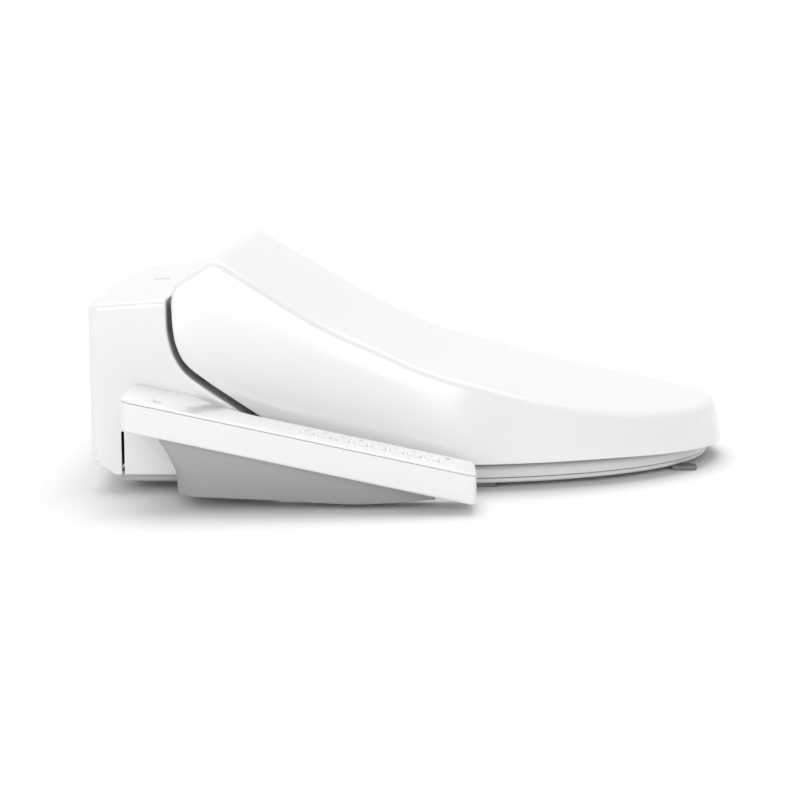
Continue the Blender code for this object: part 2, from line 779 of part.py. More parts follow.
def seat_parts():
    pivot = (0.0, HINGE_Y, HINGE_Z)
    seat_top()
    bottom = ring_plate("seat_bottom", RING_BOTTOM, RING_SEAM - SEAT_GROOVE, 0.0020, 0.0015)
    finish(bottom, WHITE, 0.3, pivot=pivot)
    heater = ring_plate("seat_heater", 0.0130, 0.0136, 0.0140, 0.0200)
    finish(heater, DARK, 0.6, pivot=pivot)
    for number, (x, y) in enumerate(SEAT_BUMPERS, 1):
        pad = box(
            f"seat_bumper_{number}",
            (x - 0.0065, y - 0.0110, 0.0),
            (x + 0.0065, y + 0.0110, RING_BOTTOM - GAP),
            0.0012,
        )
        finish(pad, GREY, 0.7, pivot=pivot)


# ---------------------------------------------------------------- lid

# heights along the lid, as (y, z): its middle, the edges of its top, the rear facet, its lower edge
SPINE = [
    (-0.467, 0.0510),
    (-0.447, 0.0560),
    (-0.431, 0.0595),
    (-0.377, 0.0713),
    (-0.335, 0.0800),
    (-0.285, 0.0925),
    (-0.223, 0.1090),
    (-0.161, 0.1373),
    (-0.120, 0.1610),
    (-0.090, 0.1782),
    (-0.040, 0.2067),
]
CREASE = [
    (-0.467, 0.0510),
    (-0.433, 0.0520),
    (-0.399, 0.0530),
    (-0.368, 0.0555),
    (-0.334, 0.0607),
    (-0.293, 0.0695),
    (-0.249, 0.0825),
    (-0.203, 0.0965),
    (-0.168, 0.1120),
    (-0.129, 0.1292),
    (-0.093, 0.1500),
    (-0.065, 0.1680),
    (-0.040, 0.1845),
]
FACET = [
    (-0.0600, 0.1991),
    (-0.0124, 0.1705),
    (-0.0085, 0.1678),
    (-0.0060, 0.1645),
    (-0.0046, 0.1600),
    (-0.0040, 0.1530),
]
LOWER_EDGE = [
    (-0.470, 0.0147),
    (-0.420, 0.0185),
    (-0.340, 0.0215),
    (-0.185, 0.0220),
    (-0.155, 0.0250),
    (-0.125, 0.0330),
    (-0.095, 0.0480),
    (-0.0644, 0.0680),
    (-0.0515, 0.0765),
    (-0.0303, 0.0910),
    (-0.0140, 0.1050),
    (-0.0071, 0.1200),
    (-0.0050, 0.1330),
    (-0.0040, 0.1500),
]


def lid_half_width(y, nose=LID_NOSE_Y):
    if y >= LID_STRAIGHT_Y:
        return LID_HALF
    share = (LID_STRAIGHT_Y - y) / (LID_STRAIGHT_Y - nose)
    return LID_HALF * math.sqrt(max(0.0, 1.0 - min(share, 1.0) ** 2))


def lid_height(x, y):
    """The lid's top: a low arch across, cut off at the rear by the facet."""
    spine, crease = through(SPINE, y), through(CREASE, y)
    half = max(lid_half_width(y, LID_NOSE_Y + LID_CREASE_INSET), 0.001)
    arch = spine - (spine - crease) * min(1.0, (x / half) ** 2)
    return min(arch, through(FACET, y))


def lid_stations():
    """Places along the outline: straight from the rear, then by angle around the nose."""
    rear = [-0.0040, -0.0046, -0.0060, -0.0085, -0.0140, -0.0303, -0.0400, -0.0480, -0.0560]
    rear += [-0.0644, -0.0950, -0.1250, -0.1680]
    count = 12
    around = [
        LID_STRAIGHT_Y - (LID_STRAIGHT_Y - LID_NOSE_Y) * math.sin(math.pi / 2 * k / count)
        for k in range(count + 1)
    ]
    return rear + around


def lid_section(y):
    """One row of the lid's half surface, from the lower edge over the crease to the middle."""
    w = lid_half_width(y)
    share = w / LID_HALF
    lean = Vector((1, 0))
    if y < LID_STRAIGHT_Y:
        lean = Vector((share, -math.sqrt(max(0.0, 1 - share * share))))
    rim = Vector((w, y))
    crease = rim - lean * LID_CREASE_INSET
    shoulder = crease - lean * LID_EDGE_ROUND
    z_low = through(LOWER_EDGE, y)
    z_top = max(min(through(CREASE, y), through(FACET, y)), z_low + 0.0020)
    z_round = max(z_top - LID_EDGE_ROUND, z_low + 0.0015)
    middle_z = (z_low + z_round) / 2
    row = [(*rim, z_low), (*(rim - lean * 0.0015), middle_z), (*crease, z_round)]
    spine_y = max(y, LID_SPINE_FRONT)
    for part in (0.0, 0.3, 0.65, 1.0):
        x = shoulder.x * (1 - part)
        along = shoulder.y + (spine_y - shoulder.y) * part
        row.append((x, along, max(lid_height(x, along), z_top if part == 0.0 else 0.0)))
    return row


def hinge_notch(side):
    """The gap in the lid's rear edge that swings down over a bracket and the seat's lug."""
    inner = LID_LUG_X + LUG_PITCH - LUG_WIDTH / 2 - NOTCH_CLEARANCE
    outer = LID_LUG_X + 2 * LUG_PITCH + LUG_WIDTH / 2 + NOTCH_CLEARANCE
    left, right = sorted((side * inner, side * outer))
    low, high = (HINGE_Y + 0.002, HINGE_Z - 0.010), (0.005, HINGE_Z + 0.014)
    return box("notch", (left, *low), (right, *high))


def lid():
    rows = [lid_section(y) for y in lid_stations()]
    shell = grid_mesh("lid", rows)
    mirror = shell.modifiers.new("mirror", "MIRROR")
    mirror.use_axis = (True, False, False)
    mirror.use_clip = True
    mirror.merge_threshold = 0.0001
    apply_modifiers(shell)
    outward(shell, (0.0, -0.2, 1.0))
    thicken(shell, WALL, -1.0)
    for side in (-1, 1):
        x = side * LID_LUG_X
        web = [
            (HINGE_Y + 0.0030, HINGE_Z - 0.0010),
            (HINGE_Y + 0.0050, HINGE_Z + 0.0095),
            (HINGE_Y - 0.0150, HINGE_Z + 0.0215),
            (HINGE_Y - 0.0150, HINGE_Z + 0.0140),
            (HINGE_Y - 0.0030, HINGE_Z - 0.0010),
        ]
        low, high = x - LUG_WIDTH / 2, x + LUG_WIDTH / 2
        join(shell, slab("web", web, low, high, "X"), knuckle("lug", x))
        cut(shell, knuckle_bore(x), hinge_notch(side))
    pivot = (0.0, HINGE_Y, HINGE_Z)
    finish(shell, WHITE, 0.18, pivot=pivot)
    for number, x in enumerate((-0.070, 0.070), 1):
        pad = rod(f"lid_bumper_{number}", (x, -0.4120, 0.0384), "Z", 0.0282, 0.0035, sides=14)
        finish(pad, GREY, 0.7, pivot=pivot)


# ---------------------------------------------------------------- control arm


def arm_outline(shrink=0.0):
    """The arm from above in its own frame: narrow beside the seat, wide where it meets the unit."""
    half = ARM_HALF
    corner = 0.006
    rear = ARM_LENGTH
    points = [
        (-half, corner),
        (-half + corner * 0.3, corner * 0.3),
        (-half + corner, 0.0),
        (half - corner, 0.0),
        (half - corner * 0.3, corner * 0.3),
        (half, corner),
        (half, ARM_ROOT_START + 0.030),
        (half + 0.004, ARM_ROOT_START + 0.050),
        (ARM_ROOT_X - 0.010, ARM_ROOT_START + 0.068),
        (ARM_ROOT_X, ARM_ROOT_START + 0.078),
        (ARM_ROOT_X, rear),
        (-half + corner, rear),
        (-half, rear - corner),
    ]
    return inset(points, shrink) if shrink else points


def key_centre(number):
    return (-0.001, KEY_FIRST + KEY_PITCH * number)


def upright(thing):
    """Lean a piece of the sloped arm so that its ends stand vertical."""
    lean = Matrix.Identity(4)
    lean[1][2] = math.tan(ARM_SLOPE)
    thing.data.transform(lean)
    return thing


def arm_frame_part(frame):
    trough = slab("arm_frame", arm_outline(), -ARM_DEPTH, -PANEL_THICK - GAP)
    cut(trough, slab("well", inset(arm_outline(), 0.0025), -ARM_DEPTH + 0.0025, 0.01))
    return finish(upright(trough), WHITE, 0.25, frame=frame)


def arm_panel(frame):
    panel = upright(slab("arm_panel", arm_outline(), -PANEL_THICK, 0.0))
    a, b = KEY_SIZE[0] / 2 + GAP, KEY_SIZE[1] / 2 + GAP
    for number in range(KEY_COUNT):
        x, y = key_centre(number)
        cut(panel, box("key_hole", (x - a, y - b, -0.01), (x + a, y + b, 0.01)))
    x, y = ARM_LAMP
    cut(panel, box("lamp_hole", (x - 0.0020, y - 0.0020, -0.01), (x + 0.0020, y + 0.0020, 0.01)))
    return finish(panel, WHITE, 0.25, frame=frame)


def arm_keys(frame):
    for number in range(KEY_COUNT):
        x, y = key_centre(number)
        key = box(
            f"arm_key_{number + 1}",
            (-KEY_SIZE[0] / 2, -KEY_SIZE[1] / 2, -KEY_SIZE[2] + KEY_PROUD),
            (KEY_SIZE[0] / 2, KEY_SIZE[1] / 2, KEY_PROUD),
        )
        finish(key, WHITE, 0.3)
        key.location = (x, y, 0.0)
        key.parent = frame
    x, y = ARM_LAMP
    lamp = box("arm_lamp", (x - 0.0017, y - 0.0017, -0.0030), (x + 0.0017, y + 0.0017, 0.0001))
    finish(lamp, DARK, 0.2, frame=frame)


def arm_board(frame):
    board = box("arm_board", (-0.019, 0.018, -0.0072), (0.019, 0.190, -0.0056))
    join(board, box("chip", (-0.006, 0.170, -0.0060), (0.006, 0.182, -0.0036)))
    return finish(board, GREEN, 0.45, frame=frame)


# the lower housing: its underside as (y, z), and where its side and its rear end, as (z, y, y)
HULL_UNDERSIDE = [
    (-0.212, 0.0078),
    (-0.180, 0.0052),
    (-0.152, 0.0041),
    (-0.094, 0.0073),
    (-0.040, 0.0098),
    (0.010, 0.0125),
]
HULL_REAR = [
    (0.0020, -0.0290, -0.0135),
    (0.0115, -0.0290, -0.0135),
    (0.0270, -0.0220, -0.0130),
    (0.0420, -0.0130, -0.0080),
    (0.0600, -0.0040, 0.0030),
]
HULL_OUTER_X = -0.262
HULL_INNER_X = -0.223
HULL_FRONT_Y = -0.212


def arm_bottom():
    """The lower housing: a hull under the arm whose rear turns in to meet the unit's side."""
    slope = math.tan(ARM_SLOPE)
    under = ARM_DEPTH / math.cos(ARM_SLOPE) + 0.0006
    root_x = -UNIT_HALF - GAP
    rows = []
    for z, side_end, rear_end in HULL_REAR:
        rows.append([
            (HULL_OUTER_X, HULL_FRONT_Y, z),
            (HULL_INNER_X, HULL_FRONT_Y, z),
            (HULL_INNER_X, -0.085, z),
            (root_x, -0.062, z),
            (root_x, rear_end, z),
            (HULL_OUTER_X + 0.016, rear_end, z),
            (HULL_OUTER_X + 0.006, (side_end + 2 * rear_end) / 3, z),
            (HULL_OUTER_X, side_end, z),
        ])
    hull = grid_mesh("arm_bottom", rows, closed_columns=True)
    work = bmesh.new()
    work.from_mesh(hull.data)
    bmesh.ops.holes_fill(work, edges=work.edges, sides=0)
    bmesh.ops.recalc_face_normals(work, faces=work.faces)
    work.to_mesh(hull.data)
    work.free()
    ends = [
        (y, ARM_ORIGIN[2] + (y - ARM_ORIGIN[1]) * slope - under) for y in (0.010, HULL_FRONT_Y - 0.001)
    ]
    outline = HULL_UNDERSIDE + ends
    boolean(hull, slab("side", outline, HULL_OUTER_X - 0.01, root_x + 0.01, "X"), "INTERSECT")
    return finish(hull, GREY, 0.5)


def control_arm():
    frame = frame_at("arm_frame_axes", ARM_ORIGIN, ARM_SLOPE)
    arm_frame_part(frame)
    arm_panel(frame)
    arm_keys(frame)
    arm_board(frame)
    arm_bottom()


# ---------------------------------------------------------------- assembly

rear_cover()
base_tray()
base_screws()
mounting_plate()
for label, side in (("left", 1), ("right", -1)):
    hinge_bracket(label, side)
    hinge_pin(label, side)
water_works()
electrics()
nozzle_unit()
fan()
dryer_duct()
dryer_flap()
filter_and_button()
seat_parts()
lid()
control_arm()
bpy.context.view_layer.update()
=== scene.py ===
import json
from math import copysign, cos, exp, hypot, log, pi, radians, sin, sqrt, tan, tau

import bmesh
import bpy
from mathutils import Matrix, Vector


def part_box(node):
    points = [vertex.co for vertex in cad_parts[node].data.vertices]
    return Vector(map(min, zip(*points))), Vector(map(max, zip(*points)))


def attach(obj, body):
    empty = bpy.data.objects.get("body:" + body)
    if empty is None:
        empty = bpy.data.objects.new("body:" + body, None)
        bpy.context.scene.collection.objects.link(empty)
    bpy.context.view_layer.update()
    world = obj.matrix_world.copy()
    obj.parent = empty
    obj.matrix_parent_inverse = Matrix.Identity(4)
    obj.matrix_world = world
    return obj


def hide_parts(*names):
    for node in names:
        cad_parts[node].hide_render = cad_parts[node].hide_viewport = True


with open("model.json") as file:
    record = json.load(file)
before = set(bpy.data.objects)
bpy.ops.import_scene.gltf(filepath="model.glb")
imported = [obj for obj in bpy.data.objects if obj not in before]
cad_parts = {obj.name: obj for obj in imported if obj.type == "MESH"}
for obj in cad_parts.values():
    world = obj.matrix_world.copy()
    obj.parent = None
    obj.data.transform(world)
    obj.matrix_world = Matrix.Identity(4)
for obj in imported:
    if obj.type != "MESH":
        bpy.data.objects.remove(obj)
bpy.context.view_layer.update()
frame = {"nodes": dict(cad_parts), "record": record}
BODY_OF = {
    node: body
    for body, nodes in frame["record"]["behaviour"]["bodies"].items()
    for node in nodes
}

# An electric bidet seat in metres, +Z up, nose to -Y, control arm on the -X side.
# Every detailed piece stands where its CAD node stands and rides on the same body.

# a quarter turn
QUARTER = pi / 2
# edges that turn by more than this are shown sharp
SHARP_FROM = radians(32)

# rear unit
UNIT_HALF = 0.19
UNIT_TOP = 0.1553
UNIT_TOP_SLOPE = -0.0608
UNIT_BOTTOM = 0.0153
UNIT_REAR = 0.062
UNIT_REAR_BULGE = 0.008
UNIT_CORNER = 0.01
SIDE_SLOT = ((-0.2, 0.0344, 0.006), (-0.186, 0.0368, 0.05))
UNIT_EDGE = 0.0052
UNIT_WALL = 0.0026
# centres on the unit's side, as (y, z), and on its rear, as (x, z)
INLET = (0.024, 0.04)
BUTTON = (-0.02, 0.04)
GLAND = (0.1, 0.05)

# hinge
HINGE = Vector((0, -0.015, 0.158))
KNUCKLE_RADIUS = 0.0044
KNUCKLE_BORE = 0.0024
PIN_RADIUS = 0.002
PIN_POINT = PIN_RADIUS * 0.7
PIN_CHAMFER = 0.0006
LUG_WIDTH = 0.01
LUG_PITCH = 0.0105
LID_LUG_X = 0.112
BRACKET_X = LID_LUG_X + LUG_PITCH
SEAT_LUG_X = LID_LUG_X + 2 * LUG_PITCH

# lid
LID_HALF = 0.187
LID_REAR_Y = -0.004
LID_STRAIGHT_Y = -0.205
LID_NOSE_Y = -0.472
LID_LEAN = 0.005
LID_SIDE_LEAN = LID_LEAN * 0.86
LID_LEAN_REAR = -0.06
LID_SPINE_FRONT = -0.37
LID_WALL = 0.0028
LID_CREST_SOFTNESS = 0.0016

# seat
RING_CENTRE_Y = -0.25
RING_INNER = (0.105, 0.14)
RING_OUTER_HALF = 0.176
RING_OUTER_FRONT = 0.256
RING_OUTER_REAR = 0.157
RING_TOP = 0.024
RING_SEAM = 0.009
RING_BOTTOM = 0.0043
RING_STEPS = 220

# control arm, in its own frame
ARM_SLOPE = radians(12.15)
ARM_ORIGIN = Vector((-0.245, -0.243, 0.0312))
ARM_AXES = Matrix.Translation(ARM_ORIGIN) @ Matrix.Rotation(ARM_SLOPE, 4, "X")
# the arm's own axes, leaned so that its ends stand vertical
ARM_LEAN = Matrix(((1, 0, 0, 0), (0, 1, tan(ARM_SLOPE), 0), (0, 0, 1, 0), (0, 0, 0, 1)))
ARM = ARM_AXES @ ARM_LEAN
ARM_HALF = 0.025
ARM_LENGTH = 0.2745
ARM_DEPTH = 0.0245
ARM_ROOT_X = 0.0547
PANEL_THICK = 0.002
KEY_HALF = (0.0063, 0.0053)
KEY_TOP = 0.0006
KEY_X = -0.001
KEY_FIRST = 0.034
KEY_PITCH = 0.014
KEY_COUNT = 8
ARM_LAMP = (0.0135, 0.0215, 0)


# ---- mesh helpers


class Profile:
    """A smooth line through (position, value) points that never overshoots them."""

    def __init__(self, points):
        self.points = sorted(points)
        pairs = list(zip(self.points, self.points[1:]))
        slopes = [(b[1] - a[1]) / (b[0] - a[0]) for a, b in pairs]
        inner = [
            0.0 if one * two <= 0 else 2 * one * two / (one + two)
            for one, two in zip(slopes, slopes[1:])
        ]
        self.tangents = [slopes[0], *inner, slopes[-1]]

    def __call__(self, at):
        points = self.points
        if at <= points[0][0]:
            return points[0][1]
        if at >= points[-1][0]:
            return points[-1][1]
        i = next(k for k in range(len(points) - 1) if at <= points[k + 1][0])
        (a, low), (b, high) = points[i], points[i + 1]
        width = b - a
        t = (at - a) / width
        keep = 2 * t**3 - 3 * t**2 + 1
        start = t**3 - 2 * t**2 + t
        end = t**3 - t**2
        tilt = (start * self.tangents[i] + end * self.tangents[i + 1]) * width
        return keep * low + (1 - keep) * high + tilt


def spaced(start, end, count):
    """The ends and steps of count equal parts."""
    return [start + (end - start) * k / count for k in range(count + 1)]


def circle(steps):
    """Angles once around."""
    return spaced(0, tau, steps)[:-1]


def quarter_round(radius, steps=4):
    """A rounded edge from its face to its side, as distances from (side, face)."""
    angles = spaced(0, QUARTER, steps) if radius else [0.0]
    return [(radius * (1 - sin(a)), radius * (1 - cos(a))) for a in angles]


def smoothstep(value):
    t = min(1.0, max(0, value))
    return t * t * (3 - 2 * t)


def soft_min(one, two, softness):
    low = min(one, two)
    return low - softness * log(exp((low - one) / softness) + exp((low - two) / softness))


def bezier(start, control, end, steps):
    """Points on a quadratic curve, start and end included."""
    curve = []
    for t in spaced(0, 1.0, steps):
        shares = ((1 - t) ** 2, 2 * t * (1 - t), t * t)
        places = zip(start, control, end)
        curve.append(tuple(sum(s * p for s, p in zip(shares, place)) for place in places))
    return curve


def rounded_outline(corners, steps=8):
    """A closed outline from corners (x, y, radius), with each corner turned smoothly."""
    outline = []
    for i, (x, y, radius) in enumerate(corners):
        here = Vector((x, y))
        before = Vector(corners[i - 1][:2])
        after = Vector(corners[(i + 1) % len(corners)][:2])
        start = here + (before - here).normalized() * radius
        end = here + (after - here).normalized() * radius
        outline += bezier(start, here, end, steps)
    return outline


def rounded_rectangle(low, high, radius, steps=8):
    """A rectangle between two opposite corners, of which only x and y are used."""
    corners = ((low[0], low[1]), (high[0], low[1]), (high[0], high[1]), (low[0], high[1]))
    return rounded_outline([(x, y, radius) for x, y in corners], steps)


def inset(outline, distance):
    """A closed counter-clockwise outline moved inwards."""
    moved = []
    count = len(outline)
    for i in range(count):
        before, here, after = (Vector(outline[(i + k) % count]) for k in (-1, 0, 1))
        one = (here - before).normalized()
        two = (after - here).normalized()
        normal = Vector((-one.y - two.y, one.x + two.x)).normalized()
        spread = max(normal.dot(Vector((-two.y, two.x))), 0.5)
        moved.append(tuple(here + normal * distance / spread))
    return moved


def add_rows(work, rows, closed=True, cap=False):
    """Quads between rows of points; closed joins each row's ends, cap closes both end rows."""
    verts = [[work.verts.new(p) for p in row] for row in rows]
    count = len(rows[0])
    for upper, lower in zip(verts, verts[1:]):
        for i in range(count if closed else count - 1):
            j = (i + 1) % count
            work.faces.new((upper[i], upper[j], lower[j], lower[i]))
    if cap:
        work.faces.new(verts[0])
        work.faces.new(verts[-1][::-1])


def disc(x, y, radius, steps):
    return [(x + radius * cos(a), y + radius * sin(a)) for a in circle(steps)]


# how an outline drawn flat is turned so that it is extruded along an axis
AXES = {
    "X": Matrix(((0, 0, 1, 0), (1, 0, 0, 0), (0, 1, 0, 0), (0, 0, 0, 1))),
    "Y": Matrix(((1, 0, 0, 0), (0, 0, 1, 0), (0, 1, 0, 0), (0, 0, 0, 1))),
    "Z": Matrix(),
}


def add_levels(work, outline, levels, turn=Matrix()):
    """A closed outline repeated at levels (inset, height), with both ends closed."""
    rows = [[turn @ Vector((a, b, z)) for a, b in inset(outline, depth)] for depth, z in levels]
    add_rows(work, rows, cap=True)


def add_prism(work, outline, low, high, axis="Z", top_round=0.0, bottom_round=0.0, place=None):
    """A closed outline extruded along an axis, with rounded rims.

    The outline is in (x, y) for Z and in (y, z) for X.
    """
    margin = 0.0006
    levels = [(bottom_round + margin, low)]
    levels += [(side, low + face) for side, face in quarter_round(bottom_round)]
    levels += [(face, high - side) for side, face in quarter_round(top_round)]
    levels.append((top_round + margin, high))
    add_levels(work, outline, levels, AXES[axis] if place is None else place @ AXES[axis])


def add_lathe(work, profile, centre, axis="Z", steps=48, place=None):
    """A surface of revolution from (radius, height) points, along an axis through centre."""
    turn = Matrix.Translation(centre) @ AXES[axis]
    if place is not None:
        turn = place @ turn
    angles = circle(steps)
    add_rows(work, [
        [turn @ Vector((radius * cos(a), radius * sin(a), height)) for a in angles]
        for radius, height in profile
    ])


def add_cylinder(work, radius, low, high, *where):
    """A plain cylinder; where is the rest of what add_lathe takes."""
    add_lathe(work, [(0, low), (radius, low), (radius, high), (0, high)], *where)


def add_box(work, low, high, radius=0.0, segments=3):
    made = bmesh.ops.create_cube(work, size=1.0)["verts"]
    bmesh.ops.scale(work, vec=[b - a for a, b in zip(low, high)], verts=made)
    bmesh.ops.translate(work, vec=[(a + b) / 2 for a, b in zip(low, high)], verts=made)
    if radius:
        edges = list({edge for vert in made for edge in vert.link_edges})
        bmesh.ops.bevel(
            work, geom=edges, offset=radius, segments=segments, profile=0.5, affect="EDGES"
        )


def add_box_pair(work, inner, outer, low, high, radius):
    """The same box on the left and on the right, with (y, z) corners."""
    for side in (-1, 1):
        left, right = sorted((side * inner, side * outer))
        add_box(work, (left, *low), (right, *high), radius)


def object_from(name, work):
    """A smooth-shaded object from a bmesh, sharp only where faces meet at a steep angle."""
    bmesh.ops.remove_doubles(work, verts=work.verts, dist=0.000002)
    bmesh.ops.dissolve_degenerate(work, edges=work.edges, dist=0.0000005)
    bmesh.ops.recalc_face_normals(work, faces=work.faces)
    mesh = bpy.data.meshes.new(name)
    work.to_mesh(mesh)
    work.free()
    made = bpy.data.objects.new(name, mesh)
    bpy.context.scene.collection.objects.link(made)
    shade(made)
    return made


def object_of(name, add, *shape, **settings):
    """An object made of a single shape by one of the functions that add one."""
    work = bmesh.new()
    add(work, *shape, **settings)
    return object_from(name, work)


def shade(thing):
    thing.data.shade_smooth()
    thing.data.set_sharp_from_angle(angle=SHARP_FROM)


def modify(thing, kind, **settings):
    """Apply one modifier to a piece."""
    change = thing.modifiers.new(kind, kind)
    for key, value in settings.items():
        setattr(change, key, value)
    bpy.context.view_layer.update()
    mesh = bpy.data.meshes.new_from_object(
        thing.evaluated_get(bpy.context.evaluated_depsgraph_get())
    )
    thing.modifiers.clear()
    thing.data = mesh
    shade(thing)


def carve(thing, cutters, operation="DIFFERENCE"):
    """Cut one closed shape, or several that don't touch, out of a piece."""
    tool = object_from("cutters", cutters)
    modify(thing, "BOOLEAN", operation=operation, solver="EXACT", object=tool)
    bpy.data.objects.remove(tool)


def wall(thing, thickness, inside):
    """Turn an open surface away from an inner point and give it a wall on that side."""
    work = bmesh.new()
    work.from_mesh(thing.data)
    away = sum(
        f.normal.dot(f.calc_center_median() - Vector(inside)) * f.calc_area() for f in work.faces
    )
    if away < 0:
        bmesh.ops.reverse_faces(work, faces=work.faces)
    work.to_mesh(thing.data)
    work.free()
    modify(thing, "SOLIDIFY", thickness=thickness, offset=-1.0, use_even_offset=True)


def stand_for(thing, node, *materials):
    """Put a detailed piece in the place of a CAD node, on that node's body."""
    thing.data.materials.clear()
    for made in materials:
        thing.data.materials.append(made)
    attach(thing, BODY_OF[node])
    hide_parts(node)


# ---- materials


class Nodes:
    """A short way to build a material; names of inputs are written with _ for a space."""

    def __init__(self, name):
        self.material = bpy.data.materials.new(name)
        self.material.use_nodes = True
        self.tree = self.material.node_tree
        self.shader = self.tree.nodes["Principled BSDF"]
        self.coords = self.add("ShaderNodeTexCoord").outputs["Object"]

    def add(self, kind, **settings):
        """A new node with its settings, each an input or else an attribute."""
        made = self.tree.nodes.new(kind)
        for key, value in settings.items():
            socket = made.inputs.get(key.replace("_", " "))
            if socket is None:
                setattr(made, key, value)
            else:
                socket.default_value = value
        return made

    def through(self, made, source, name, result):
        """Link a source into a node's input and give the node's result."""
        self.tree.links.new(source, made.inputs[name])
        return made.outputs[result]

    def noise(self, scale, detail=3.0, vector=None):
        made = self.add("ShaderNodeTexNoise", Scale=scale, Detail=detail)
        return self.through(made, vector or self.coords, "Vector", "Fac")

    def wave(self, **settings):
        made = self.add("ShaderNodeTexWave", **settings)
        return self.through(made, self.coords, "Vector", "Fac")

    def stretched(self, scale):
        made = self.add("ShaderNodeMapping", Scale=scale)
        return self.through(made, self.coords, "Vector", "Vector")

    def ramp(self, factor, *stops):
        made = self.add("ShaderNodeValToRGB")
        elements = made.color_ramp.elements
        while len(elements) < len(stops):
            elements.new(0.5)
        for element, (position, colour) in zip(elements, stops):
            element.position = position
            element.color = (*colour, 1.0)
        return self.through(made, factor, "Fac", "Color")

    def spread(self, factor, low, high):
        """The usual reach of a noise, mapped to the range from low to high."""
        made = self.add("ShaderNodeMapRange", From_Min=0.3, From_Max=0.7, To_Min=low, To_Max=high)
        return self.through(made, factor, "Value", "Result")

    def bump(self, height, strength, distance, after=None):
        made = self.add("ShaderNodeBump", Strength=strength, Distance=distance)
        if after is not None:
            self.tree.links.new(after, made.inputs["Normal"])
        return self.through(made, height, "Height", "Normal")

    def finish(self, colour, roughness, normal=None, **values):
        """Feed the shader, set its other values and give the material."""
        feeds = (("Base Color", colour), ("Roughness", roughness), ("Normal", normal))
        for name, source in feeds:
            if source is not None:
                self.tree.links.new(source, self.shader.inputs[name])
        for key, value in values.items():
            self.shader.inputs[key.replace("_", " ")].default_value = value
        return self.material


def tinted(colour, share):
    return tuple(min(1.0, c * share) for c in colour)


def moulded(name, colour, roughness, grain, coat=0.0, texture=0.0):
    """Moulded plastic: faint tone changes, slow ripples from the mould and a fine grain."""
    nodes = Nodes(name)
    tones = ((0.3, tinted(colour, 0.988)), (0.55, colour), (0.8, tinted(colour, 1.008)))
    change = 0.008 + 0.06 * texture
    ripple = nodes.bump(nodes.noise(14.0, 1.0), 0.012, 0.0004)
    fine = nodes.noise(900.0 if texture else 1500.0, 2.0)
    return nodes.finish(
        nodes.ramp(nodes.noise(9.0, 4.0), *tones),
        nodes.spread(nodes.noise(120.0, 4.0), roughness - change, roughness + change),
        nodes.bump(fine, grain + texture, 0.00005, ripple), IOR=1.5,
        **({"Coat_Weight": coat, "Coat_Roughness": 0.06} if coat else {}),
    )


def rubber(name, colour):
    """Soft rubber: matt, with dust in its grain and paler patches."""
    nodes = Nodes(name)
    tones = ((0.35, colour), (0.62, tinted(colour, 1.15)), (0.85, tinted(colour, 1.5)))
    return nodes.finish(
        nodes.ramp(nodes.noise(180.0, 6.0), *tones), nodes.spread(nodes.noise(90.0), 0.62, 0.82),
        nodes.bump(nodes.noise(1200.0, 4.0), 0.25, 0.0001),
    )


def metal(name, colour, roughness, stretch, marks=0.1):
    """Drawn or plated metal: fine lines along the stretch, cloudy tarnish, scuffs."""
    nodes = Nodes(name)
    tones = ((0.3, tinted(colour, 0.82)), (0.6, colour), (0.85, tinted(colour, 1.08)))
    lines = nodes.noise(1.0, 3.0, nodes.stretched([700.0 * s for s in stretch]))
    return nodes.finish(
        nodes.ramp(nodes.noise(70.0, 5.0), *tones),
        nodes.spread(lines, roughness - 0.06, roughness + 0.1), nodes.bump(lines, marks, 0.00006),
        Metallic=1.0,
    )


def circuit_board(name):
    """Solder mask over copper tracks, with pads."""
    nodes = Nodes(name)
    tracks = nodes.wave(
        wave_type="BANDS", bands_direction="DIAGONAL", Scale=95.0, Distortion=9.0, Detail=1.0
    )
    tones = ((0.45, (0.012, 0.075, 0.035)), (0.56, (0.03, 0.15, 0.07)), (0.97, (0.05, 0.2, 0.09)))
    colour, normal = nodes.ramp(tracks, *tones), nodes.bump(tracks, 0.4, 0.0001)
    return nodes.finish(colour, nodes.spread(tracks, 0.3, 0.42), normal)


def heater_film(name):
    """Dark film with the heater wire printed in rings."""
    nodes = Nodes(name)
    rings = nodes.wave(wave_type="RINGS", rings_direction="Z", Scale=60.0, Distortion=2.0)
    return nodes.finish(
        nodes.ramp(rings, (0.55, (0.03, 0.03, 0.035)), (0.8, (0.35, 0.2, 0.1))),
        nodes.spread(nodes.noise(200.0), 0.4, 0.55), nodes.bump(rings, 0.5, 0.0002),
    )


WHITE = (0.755, 0.757, 0.76)
GLOSS = moulded("gloss_white", WHITE, 0.16, 0.03, coat=0.25)
# the seat's white is the lid's white painted darker: painted shade for the shade that the seat's
# band sits in under the lid
SEAT_SHADED_WHITE = moulded("seat_shaded_white", tinted(WHITE, 0.86), 0.2, 0.03, coat=0.15)
SATIN = moulded("satin_white", WHITE, 0.3, 0.08)
KEY_WHITE = moulded("key_white", tinted(WHITE, 0.985), 0.34, 0.1)
# the housing's own grey, painted darker: painted shade for the shade that falls on the hull under
# the arm
HOUSING = moulded("housing_grey", (0.32, 0.324, 0.33), 0.42, 0.12, texture=0.15)
